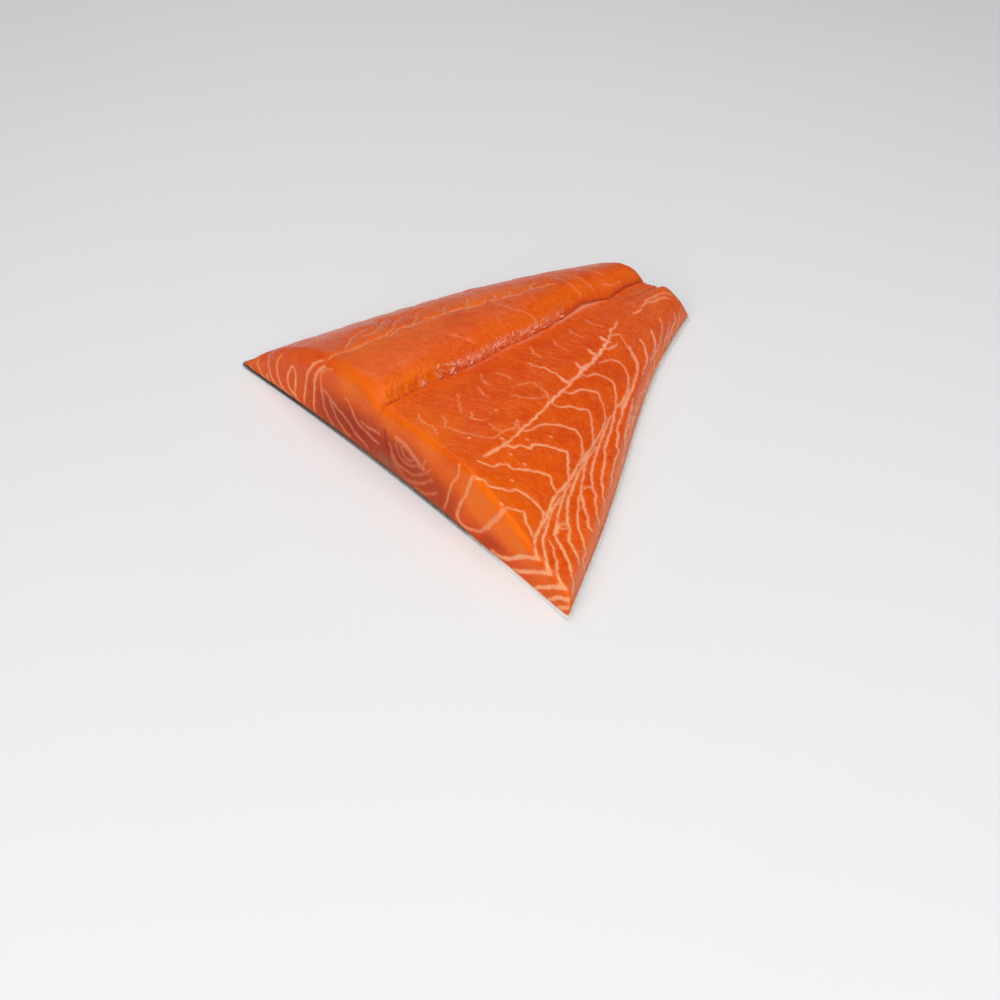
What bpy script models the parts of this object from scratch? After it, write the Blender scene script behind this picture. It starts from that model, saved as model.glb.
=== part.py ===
"""Raw salmon fillet, tail half of one side, lying on its skin.

The fillet is a slab of flesh on a thin sheet of skin. It was cut straight across at the thick end,
and it narrows to a blunt tail end. Seen from above with the tail pointing away, the thick back loin
is left of the lateral seam and the thin belly flap is right of it.

Both pieces are lofts. Sections across the fillet are worked out at stations from the cut (0) to the
tail end (1), and neighbouring sections are bridged. Inside this file x is the distance from the seam,
positive towards the belly, y runs from the cut to the tail, and z is the height above the table. An
empty then moves the fillet so that the middle of its footprint is the origin.
"""

import math

import bmesh
import bpy

MM = 0.001

# Footprint: half widths on each side of the seam, and the length along it.
LENGTH = 152.0 * MM
BACK_WIDTH_CUT = 91.0 * MM
BACK_WIDTH_TAIL = 38.0 * MM
BACK_BOW = 4.5 * MM
BELLY_WIDTH_CUT = 102.5 * MM
BELLY_WIDTH_TAIL = 16.5 * MM
BELLY_BOW = -4.0 * MM
BELLY_WAVE = 2.2 * MM
CUT_START = -0.5 * MM
CUT_SKEW = -0.032
CUT_BOW = -2.4 * MM
CUT_LEAN = 0.15
TAIL_CORNER_BACK = 15.5 * MM
TAIL_CORNER_BELLY = -5.0 * MM

# Heights of the flesh above the table, at the cut and at the tail end.
LOIN_CROWN = (31.8 * MM, 19.5 * MM)
LOIN_TAPER = 2.1
SEAM_HEIGHT = (25.0 * MM, 13.0 * MM)
BELLY_CROWN = (26.0 * MM, 15.5 * MM)
FLAP_HEIGHT = (10.0 * MM, 8.5 * MM)
LOIN_FULLNESS = 2.3
LOIN_SIDE = (0.84, 0.52)
FLAP_START = 0.38
SEAM_DIP_WIDTH = 11.0 * MM
SEAM_DIP_CENTRE = -2.0 * MM

# The seam groove: wide and torn near the cut, then a fine crease towards the tail.
GROOVE_DEPTH = (3.2 * MM, 0.9 * MM)
GROOVE_HALF_WIDTH = (3.2 * MM, 1.5 * MM)
GROOVE_CENTRE = (-4.2 * MM, -2.6 * MM)
GROOVE_FADE = (0.16, 0.30)

# The shallow crease of fat along the top of the loin.
CREASE_X = -33.0 * MM
CREASE_DEPTH = 0.9 * MM
CREASE_HALF_WIDTH = 3.5 * MM

# Rounding of the edges where the top meets the cut, the tail end and the belly edge.
CUT_ROUND_BACK = 6.0 * MM
CUT_ROUND_BELLY = 2.5 * MM
TAIL_ROUND = 3.5 * MM
BELLY_ROUND = 3.5 * MM
SIDE_WALL = 1.0 * MM

# The skin, and the hairline gap that keeps it a piece of its own.
SKIN_THICKNESS = 1.0 * MM
SKIN_GAP = 0.3 * MM
SKIN_OVERHANG = 0.7 * MM
CURL_BACK = 0.6 * MM
CURL_BELLY = 0.4 * MM
CURL_START = 0.88

# Mesh density.
ROUND_STEPS = 4
STATIONS = 38
TOP_COLUMNS = 27
FLOOR_COLUMNS = 8
SKIN_STATIONS = 30
SKIN_COLUMNS = 10

FLESH_FINISH = {"color": (0.675, 0.112, 0.021, 1.0), "roughness": 0.32, "metallic": 0.0}
SKIN_FINISH = {"color": (0.24, 0.22, 0.20, 1.0), "roughness": 0.35, "metallic": 0.0}


def mix(start, end, amount):
    """Value that lies the given share of the way from start to end."""
    return start + (end - start) * amount


def clamp(value):
    """Value held between 0 and 1."""
    return min(max(value, 0.0), 1.0)


def smooth(start, end, value):
    """0 below start, 1 above end, and an even S curve between."""
    t = clamp((value - start) / (end - start))
    return t * t * (3.0 - 2.0 * t)


def half_width(side, s):
    """Distance from the seam to the flesh's edge; side is -1 for the back and +1 for the belly."""
    if side < 0:
        return mix(BACK_WIDTH_CUT, BACK_WIDTH_TAIL, s) + 4.0 * BACK_BOW * s * (1.0 - s)
    wave = BELLY_WAVE * math.sin(2.0 * math.pi * s)
    return mix(BELLY_WIDTH_CUT, BELLY_WIDTH_TAIL, s) + 4.0 * BELLY_BOW * s * (1.0 - s) + wave


def side_share(x, s):
    """How far x lies from the seam to its own edge, from 0 to 1."""
    return clamp(abs(x) / half_width(x, s))


def curl(x, s):
    """How far the skin's underside has lifted off the table."""
    rise = clamp((side_share(x, s) - CURL_START) / (1.0 - CURL_START)) ** 2
    return rise * (CURL_BACK if x < 0 else CURL_BELLY)


def flesh_floor(x, s):
    """Height of the flesh's underside, just above the skin."""
    return curl(x, s) + SKIN_THICKNESS + SKIN_GAP


def groove(x, s):
    """Depth of the seam groove at this place."""
    torn = 1.0 - smooth(GROOVE_FADE[0], GROOVE_FADE[1], s)
    depth = mix(GROOVE_DEPTH[1], GROOVE_DEPTH[0], torn)
    reach = mix(GROOVE_HALF_WIDTH[1], GROOVE_HALF_WIDTH[0], torn)
    offset = (x - mix(GROOVE_CENTRE[1], GROOVE_CENTRE[0], torn)) / reach
    return depth * math.exp(-(offset**4))


def crease(x, s):
    """Depth of the crease of fat along the loin."""
    offset = (x - CREASE_X * (1.0 - 0.3 * s)) / CREASE_HALF_WIDTH
    return CREASE_DEPTH * math.exp(-(offset**2)) * (1.0 - smooth(0.5, 0.8, s))


def loin_height(x, s):
    """Height of the rounded loin on the back's side of the seam."""
    crown = mix(LOIN_CROWN[0], LOIN_CROWN[1], s**LOIN_TAPER)
    share = side_share(x, s)
    return crown * (1.0 - share**LOIN_FULLNESS) ** mix(LOIN_SIDE[0], LOIN_SIDE[1], s)


def belly_height(x, s):
    """Height of the belly half, which falls from its crown to the thin flap and rounds off at the edge."""
    share = side_share(x, s)
    fall = smooth(FLAP_START, 1.05, share) / smooth(FLAP_START, 1.05, 1.0)
    height = mix(mix(*BELLY_CROWN, s), mix(*FLAP_HEIGHT, s), fall)
    edge = clamp((1.0 - share) * half_width(1, s) / BELLY_ROUND)
    return height * math.sqrt(1.0 - (1.0 - edge) ** 2)


def flesh_top(x, s):
    """Height of the flesh's top surface above the table."""
    height = loin_height(x, s) if x < 0 else belly_height(x, s)
    dip = math.exp(-(((x - SEAM_DIP_CENTRE) / (SEAM_DIP_WIDTH * (1.0 - 0.45 * s))) ** 2))
    height = mix(height, mix(*SEAM_HEIGHT, s), dip) - groove(x, s) - crease(x, s)
    return max(height, flesh_floor(x, s) + SIDE_WALL)


def along(x, z, s):
    """y of a point on station s: the cut is skewed and leans back, and the tail end is slanted."""
    start = CUT_START + CUT_SKEW * x + CUT_BOW * (x / BACK_WIDTH_CUT) ** 2
    share = side_share(x, s)
    corner = TAIL_CORNER_BACK * share**1.8 if x < 0 else TAIL_CORNER_BELLY * share**1.5
    return mix(start, LENGTH - corner, s) + CUT_LEAN * z * (1.0 - s) ** 3


def spread(count):
    """Shares from 0 to 1, closer together towards both ends."""
    return [mix(i / count, (1.0 - math.cos(math.pi * i / count)) / 2.0, 0.55) for i in range(count + 1)]


def crossing(s, count, overhang=0.0):
    """Positions x across the fillet at station s, from the back's edge to the belly edge."""
    back = half_width(-1, s) + overhang
    belly = half_width(1, s) + overhang
    left = [-back * share for share in reversed(spread(count)[1:])]
    return left + [belly * share for share in spread(count)]


def round_radius(x, s, radius):
    """Radius of an end's rounding at x, never more than 60% of the flesh's thickness there."""
    return min(radius, 0.6 * (flesh_top(x, s) - flesh_floor(x, s)))


def cut_radius(x):
    """The cut's top edge is well rounded on the back and crisper on the belly."""
    return mix(CUT_ROUND_BACK, CUT_ROUND_BELLY, smooth(-50.0 * MM, 20.0 * MM, x))


def flesh_ring(s, turn=0.0, radius=None, inward=1.0):
    """Closed section of the flesh as a list of points.

    turn is the angle round an end's rounding, from 0 where it meets the top to a right angle at the
    end face. radius gives that rounding's radius at x, and inward is its direction along y.
    """
    ring = []
    for x in crossing(s, TOP_COLUMNS):
        top = flesh_top(x, s)
        shift = 0.0
        if radius is not None:
            reach = round_radius(x, s, radius(x))
            top -= reach * (1.0 - math.cos(turn))
            shift = inward * reach * (1.0 - math.sin(turn))
        ring.append((x, along(x, top, s) + shift, top))
    for x in reversed(crossing(s, FLOOR_COLUMNS)):
        floor = flesh_floor(x, s)
        ring.append((x, along(x, floor, s), floor))
    return ring


def flesh_rings():
    """Sections of the flesh from the cut to the tail end, with the rounding at both ends."""
    turns = [0.5 * math.pi * (1.0 - i / ROUND_STEPS) for i in range(ROUND_STEPS)]
    rings = [flesh_ring(0.0, turn, cut_radius) for turn in turns]
    first = (CUT_ROUND_BACK + 1.5 * MM) / LENGTH
    last = 1.0 - (TAIL_ROUND + 1.5 * MM) / LENGTH
    rings += [flesh_ring(mix(first, last, i / STATIONS)) for i in range(STATIONS + 1)]
    rings += [flesh_ring(1.0, turn, lambda x: TAIL_ROUND, -1.0) for turn in reversed(turns)]
    return rings


def skin_ring(s):
    """Closed section of the skin: its top, then its underside."""
    end = -SKIN_OVERHANG if s == 0.0 else SKIN_OVERHANG if s == 1.0 else 0.0
    across = crossing(s, SKIN_COLUMNS, SKIN_OVERHANG)
    top = [(x, along(x, 0.0, s) + end, curl(x, s) + SKIN_THICKNESS) for x in across]
    under = [(x, along(x, 0.0, s) + end, curl(x, s)) for x in reversed(across)]
    return top + under


def material(name, finish):
    """Principled material with the given colour, roughness and metallic value."""
    made = bpy.data.materials.new(name)
    made.use_nodes = True
    shader = made.node_tree.nodes["Principled BSDF"]
    shader.inputs["Base Color"].default_value = finish["color"]
    shader.inputs["Roughness"].default_value = finish["roughness"]
    shader.inputs["Metallic"].default_value = finish["metallic"]
    made.diffuse_color = finish["color"]
    return made


def loft(name, rings, finish, parent):
    """Closed object made by bridging each ring to the next and capping both ends."""
    mesh = bmesh.new()
    loops = []
    for ring in rings:
        corners = [mesh.verts.new(point) for point in ring]
        loops.append([mesh.edges.new((a, b)) for a, b in zip(corners, corners[1:] + corners[:1])])
    for this, following in zip(loops, loops[1:]):
        bmesh.ops.bridge_loops(mesh, edges=this + following)
    for loop in (loops[0], loops[-1]):
        bmesh.ops.triangle_fill(mesh, use_beauty=True, edges=loop)
    bmesh.ops.recalc_face_normals(mesh, faces=mesh.faces)
    data = bpy.data.meshes.new(name)
    mesh.to_mesh(data)
    mesh.free()
    data.shade_smooth()
    data.set_sharp_from_angle(angle=math.radians(40.0))
    data.materials.append(material(name, finish))
    made = bpy.data.objects.new(name, data)
    made.parent = parent
    bpy.context.scene.collection.objects.link(made)
    return made


def footprint_centre(rings):
    """Middle of the footprint's box, from every point of the rings."""
    xs = [point[0] for ring in rings for point in ring]
    ys = [point[1] for ring in rings for point in ring]
    return (min(xs) + max(xs)) / 2.0, (min(ys) + max(ys)) / 2.0


def main():
    """Clear the scene and build the fillet around the middle of its footprint."""
    for old in list(bpy.data.objects):
        bpy.data.objects.remove(old, do_unlink=True)
    flesh = flesh_rings()
    skin = [skin_ring(i / SKIN_STATIONS) for i in range(SKIN_STATIONS + 1)]
    middle_x, middle_y = footprint_centre(flesh + skin)
    seat = bpy.data.objects.new("fillet", None)
    seat.location = (-middle_x, -middle_y, 0.0)
    bpy.context.scene.collection.objects.link(seat)
    loft("skin", skin, SKIN_FINISH, seat)
    loft("flesh", flesh, FLESH_FINISH, seat)


main()
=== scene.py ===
"""Raw salmon fillet, the tail half of one side, lying on its skin.

Three pieces are dressed here: the flesh with its fat lines and torn seam, the skin under it, and the
small torn flakes that stand along the seam.

Lengths in this file are millimetres in the fillet's own layout: x runs from the seam (0) towards the
belly, so the back is negative, y runs from the cut (0) to the tail, and z is the height above the table.
Each mesh is moved onto the frame and turned into metres when it is made. A station is a place along the
fillet as a share, from 0 at the cut to 1 at the tail end.
"""

import logging
import math
from dataclasses import dataclass, field
from enum import Enum

import bmesh
import bpy
import numpy as np
from mathutils import Matrix, Vector
from mathutils.bvhtree import BVHTree
from mathutils.kdtree import KDTree


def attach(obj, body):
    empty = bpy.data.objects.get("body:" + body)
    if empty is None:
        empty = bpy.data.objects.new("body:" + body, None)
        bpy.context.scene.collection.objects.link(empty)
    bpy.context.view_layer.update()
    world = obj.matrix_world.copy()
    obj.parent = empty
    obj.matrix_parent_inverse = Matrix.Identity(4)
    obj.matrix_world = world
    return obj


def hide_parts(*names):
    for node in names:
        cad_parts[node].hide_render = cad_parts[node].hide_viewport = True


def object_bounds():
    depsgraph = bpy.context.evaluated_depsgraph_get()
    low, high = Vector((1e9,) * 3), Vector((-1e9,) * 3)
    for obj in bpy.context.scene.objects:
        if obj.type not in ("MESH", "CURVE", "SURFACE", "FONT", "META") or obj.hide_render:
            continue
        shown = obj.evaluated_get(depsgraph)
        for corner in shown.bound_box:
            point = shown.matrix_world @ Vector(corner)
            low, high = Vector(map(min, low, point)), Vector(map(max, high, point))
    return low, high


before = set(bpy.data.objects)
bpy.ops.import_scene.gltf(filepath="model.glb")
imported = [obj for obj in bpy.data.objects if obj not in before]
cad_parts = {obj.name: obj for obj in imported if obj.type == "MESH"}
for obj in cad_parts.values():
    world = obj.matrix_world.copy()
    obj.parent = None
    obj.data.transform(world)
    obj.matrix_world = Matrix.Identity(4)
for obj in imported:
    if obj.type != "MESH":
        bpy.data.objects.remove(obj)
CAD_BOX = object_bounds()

LOG = logging.getLogger("fillet")
METRE = 0.001
TINY = 1e-9

Array = np.ndarray
Pair = tuple[float, float]
Color = tuple[float, float, float]
Path = list[Pair]
Socket = bpy.types.NodeSocket
Feed = Socket | float | tuple[float, ...]


def mix(start: Array | float, end: Array | float, amount: Array | float) -> Array | float:
    """Value that lies the given share of the way from start to end."""
    return start + (end - start) * amount


def clamp(value: Array) -> Array:
    """Values held between 0 and 1."""
    return np.clip(value, 0.0, 1.0)


def smooth(start: float, end: float, value: Array | float) -> Array:
    """0 below start, 1 above end, and an even S curve between."""
    t = clamp((value - start) / (end - start))
    return t * t * (3.0 - 2.0 * t)


def bell(value: Array, centre: Array | float, reach: Array | float) -> Array:
    """Soft bump of height 1 around a centre."""
    return np.exp(-(((value - centre) / reach) ** 2))


def unit(vectors: Array) -> Array:
    """Rows of vectors brought to length 1."""
    return vectors / (np.linalg.norm(vectors, axis=1)[:, None] + TINY)


@dataclass(frozen=True)
class Span:
    """Stretch with soft ends: 0 outside, rising over the first two places and falling over the last two."""

    rise: Pair
    fall: Pair

    def at(self, value: Array) -> Array:
        """How far inside the stretch each value lies, from 0 to 1."""
        return smooth(*self.rise, value) * (1.0 - smooth(*self.fall, value))


class Noise:
    """Smooth random field over space that is the same on every run."""

    CELLS = 256

    def __init__(self, seed: int) -> None:
        """Fill the lattice.

        Args:
            seed: Number that tells this field from the others.
        """
        rng = np.random.default_rng(seed)
        self._order = rng.permutation(self.CELLS)
        self._value = rng.uniform(-1.0, 1.0, self.CELLS)

    def at(self, points: Array, size: float) -> Array:
        """One layer of noise.

        Args:
            points: Places as rows of x, y, z.
            size: Size of a lump.

        Returns:
            Values between -1 and 1.
        """
        cell = points / size
        low = np.floor(cell).astype(int)
        part = cell - low
        part = part * part * (3.0 - 2.0 * part)
        total = np.zeros(len(points))
        for corner in range(8):
            step = np.array([corner & 1, corner >> 1 & 1, corner >> 2 & 1])
            place = (low + step) % self.CELLS
            key = self._order[place[:, 0]]
            key = self._order[(key + place[:, 1]) % self.CELLS]
            key = self._order[(key + place[:, 2]) % self.CELLS]
            weight = np.where(step, part, 1.0 - part).prod(axis=1)
            total += weight * self._value[key]
        return total

    def layered(self, points: Array, size: float, layers: int = 2) -> Array:
        """Several layers of noise, each half the size and half the strength of the last.

        Args:
            points: Places as rows of x, y, z.
            size: Size of the largest lumps.
            layers: Number of layers.

        Returns:
            Values of about -1 to 1.
        """
        shift = 17.3
        total = np.zeros(len(points))
        for layer in range(layers):
            total += self.at(points + shift * layer, size / 2**layer) / 2**layer
        return total


@dataclass(frozen=True)
class FilletShape:
    """Outline and heights of the fillet, with the same named sizes as its solids.

    A pair gives a size at the cut and at the tail end, unless its name says otherwise.
    """

    length: float = 152.0
    back_width: Pair = (91.0, 38.0)
    back_bow: float = 4.5
    belly_width: Pair = (102.5, 16.5)
    belly_bow: float = -4.0
    belly_wave: float = 2.2
    cut_start: float = -0.5
    cut_skew: float = -0.032
    cut_bow: float = -2.4
    cut_lean: float = 0.15
    lean_fade: int = 3
    tail_corner_back: Pair = (15.5, 1.8)
    tail_corner_belly: Pair = (-5.0, 1.5)
    loin_crown: Pair = (31.8, 19.5)
    loin_taper: float = 2.1
    loin_fullness: float = 2.3
    loin_side: Pair = (0.84, 0.52)
    seam_height: Pair = (25.0, 13.0)
    seam_dip_width: float = 11.0
    seam_dip_narrowing: float = 0.45
    seam_dip_centre: float = -2.0
    belly_crown: Pair = (26.0, 15.5)
    flap_height: Pair = (10.0, 8.5)
    flap_start: float = 0.38
    flap_end: float = 1.05
    belly_round: float = 3.5
    cut_round_back: float = 6.0
    cut_round_belly: float = 2.5
    cut_round_span: Pair = (-50.0, 20.0)
    tail_round: float = 3.5
    most_rounding: float = 0.6
    skin_thickness: float = 1.0
    skin_gap: float = 0.3
    skin_overhang: float = 0.7
    curl_back: float = 0.6
    curl_belly: float = 0.4
    curl_start: float = 0.88
    edge_wall: float = 0.3
    station_steps: int = 25

    def half_width(self, side: Array, s: Array) -> Array:
        """Distance from the seam to the edge; side is negative for the back."""
        back = mix(*self.back_width, s) + 4.0 * self.back_bow * s * (1.0 - s)
        wave = self.belly_wave * np.sin(2.0 * math.pi * s)
        belly = mix(*self.belly_width, s) + 4.0 * self.belly_bow * s * (1.0 - s) + wave
        return np.where(side < 0.0, back, belly)

    def side_share(self, x: Array, s: Array) -> Array:
        """How far x lies from the seam to its own edge, from 0 to 1."""
        return clamp(np.abs(x) / self.half_width(x, s))

    def curl(self, x: Array, s: Array) -> Array:
        """How far the skin's underside has lifted off the table."""
        rise = clamp((self.side_share(x, s) - self.curl_start) / (1.0 - self.curl_start)) ** 2
        return rise * np.where(x < 0.0, self.curl_back, self.curl_belly)

    def floor(self, x: Array, s: Array) -> Array:
        """Height of the flesh's underside, just above the skin."""
        return self.curl(x, s) + self.skin_thickness + self.skin_gap

    def top(self, x: Array, s: Array) -> Array:
        """Height of the top surface without the seam groove and other fine relief."""
        share = self.side_share(x, s)
        crown = mix(*self.loin_crown, s**self.loin_taper)
        loin = crown * (1.0 - share**self.loin_fullness) ** mix(*self.loin_side, s)
        fall = smooth(self.flap_start, self.flap_end, share) / smooth(self.flap_start, self.flap_end, 1.0)
        belly = mix(mix(*self.belly_crown, s), mix(*self.flap_height, s), fall)
        edge = clamp((1.0 - share) * self.half_width(np.ones_like(x), s) / self.belly_round)
        belly = belly * np.sqrt(1.0 - (1.0 - edge) ** 2)
        height = np.where(x < 0.0, loin, belly)
        dip = bell(x, self.seam_dip_centre, self.seam_dip_width * (1.0 - self.seam_dip_narrowing * s))
        height = mix(height, mix(*self.seam_height, s), dip)
        return np.maximum(height, self.floor(x, s) + self.edge_wall)

    def along(self, x: Array, z: Array, s: Array) -> Array:
        """Place along the fillet of station s: the cut is skewed and leans, the tail end is slanted."""
        start = self.cut_start + self.cut_skew * x + self.cut_bow * (x / self.back_width[0]) ** 2
        share = self.side_share(x, s)
        back, back_power = self.tail_corner_back
        belly, belly_power = self.tail_corner_belly
        corner = np.where(x < 0.0, back * share**back_power, belly * share**belly_power)
        return mix(start, self.length - corner, s) + self.cut_lean * z * (1.0 - s) ** self.lean_fade

    def station(self, x: Array, y: Array) -> Array:
        """Station whose top surface passes over the place x, y."""
        s = clamp(y / self.length)
        for _ in range(self.station_steps):
            s = clamp(s + (y - self.along(x, self.top(x, s), s)) / self.length)
        return s

    def cut_radius(self, x: Array) -> Array:
        """Radius of the cut's top edge, which is well rounded on the back and crisper on the belly."""
        start = np.zeros_like(x)
        radius = mix(self.cut_round_back, self.cut_round_belly, smooth(*self.cut_round_span, x))
        return np.minimum(radius, self.most_rounding * (self.top(x, start) - self.floor(x, start)))

    def tail_radius(self, x: Array) -> Array:
        """Radius of the tail end's top edge."""
        end = np.ones_like(x)
        return np.minimum(self.tail_round, self.most_rounding * (self.top(x, end) - self.floor(x, end)))

    def seat(self) -> Vector:
        """Place in the frame, in metres, of the foot of the seam at the cut."""
        low, high = CAD_BOX
        side = self.back_width[0] + self.skin_overhang
        tail = self.length - self.tail_corner_belly[0] + self.skin_overhang
        return Vector((low[0] + side * METRE, high[1] - tail * METRE, low[2]))

    def place(self, points: Array) -> Array:
        """Points of the fillet's own layout as frame points in metres."""
        return points * METRE + np.array(self.seat())


class Face(Enum):
    """Face of the flesh on which a fat line is laid out."""

    TOP = "top"
    CUT = "cut"


@dataclass(frozen=True)
class FatLine:
    """One seam of fat between two flakes, seen where the knife opened it.

    On the top the path gives x and y, and on the cut it gives x and z. The widths are those at its start
    and its end, and a negative sink makes it stand up.
    """

    face: Face
    path: Path
    widths: Pair = (0.8, 0.8)
    paleness: float = 1.0
    sink: float = 0.15
    wave: float = 0.2
    wave_length: float = 6.0
    still_ends: float = 2.0

    def course(self, seed: int, spacing: float = 0.15) -> tuple[Array, Array]:
        """Smooth wavy course through the path.

        Args:
            seed: Number that fixes the waves.
            spacing: Distance between samples.

        Returns:
            The samples as rows of two numbers, and the share of the way of each.
        """
        corners = np.array(self.path, float)
        ends = [2.0 * corners[0] - corners[1], *corners, 2.0 * corners[-1] - corners[-2]]
        pieces = []
        for a, b, c, d in zip(ends, ends[1:], ends[2:], ends[3:]):
            count = max(int(np.linalg.norm(c - b) / spacing), 2)
            t = np.linspace(0.0, 1.0, count, endpoint=False)[:, None]
            bend = (2.0 * a - 5.0 * b + 4.0 * c - d) * t**2 + (3.0 * b - a - 3.0 * c + d) * t**3
            pieces.append(0.5 * (2.0 * b + (c - a) * t + bend))
        course = np.concatenate([*pieces, corners[-1:]])
        run = np.concatenate([[0.0], np.cumsum(np.linalg.norm(np.diff(course, axis=0), axis=1))])
        heading = unit(np.gradient(course, axis=0))
        rng = np.random.default_rng(seed)
        swing = np.zeros(len(course))
        # A second, shorter wave keeps the first from looking regular.
        for part in (1.0, 0.47):
            angle = 2.0 * math.pi * (run / (self.wave_length * part) + rng.random())
            swing += self.wave * part * np.sin(angle + 1.3 * np.sin(0.37 * angle))
        hold = np.sqrt(clamp(run / self.still_ends) * clamp((run[-1] - run) / self.still_ends))
        sideways = np.stack([-heading[:, 1], heading[:, 0]], axis=1)
        return course + sideways * (swing * hold)[:, None], run / run[-1]


def top_lines(paths: list[Path], **options: float) -> list[FatLine]:
    """Fat lines on the top that share their width, paleness, depth and waviness."""
    return [FatLine(Face.TOP, path, **options) for path in paths]


def cut_lines(paths: list[Path], **options: float) -> list[FatLine]:
    """Fat lines on the cut that share their width, paleness, depth and waviness."""
    return [FatLine(Face.CUT, path, **options) for path in paths]


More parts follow.
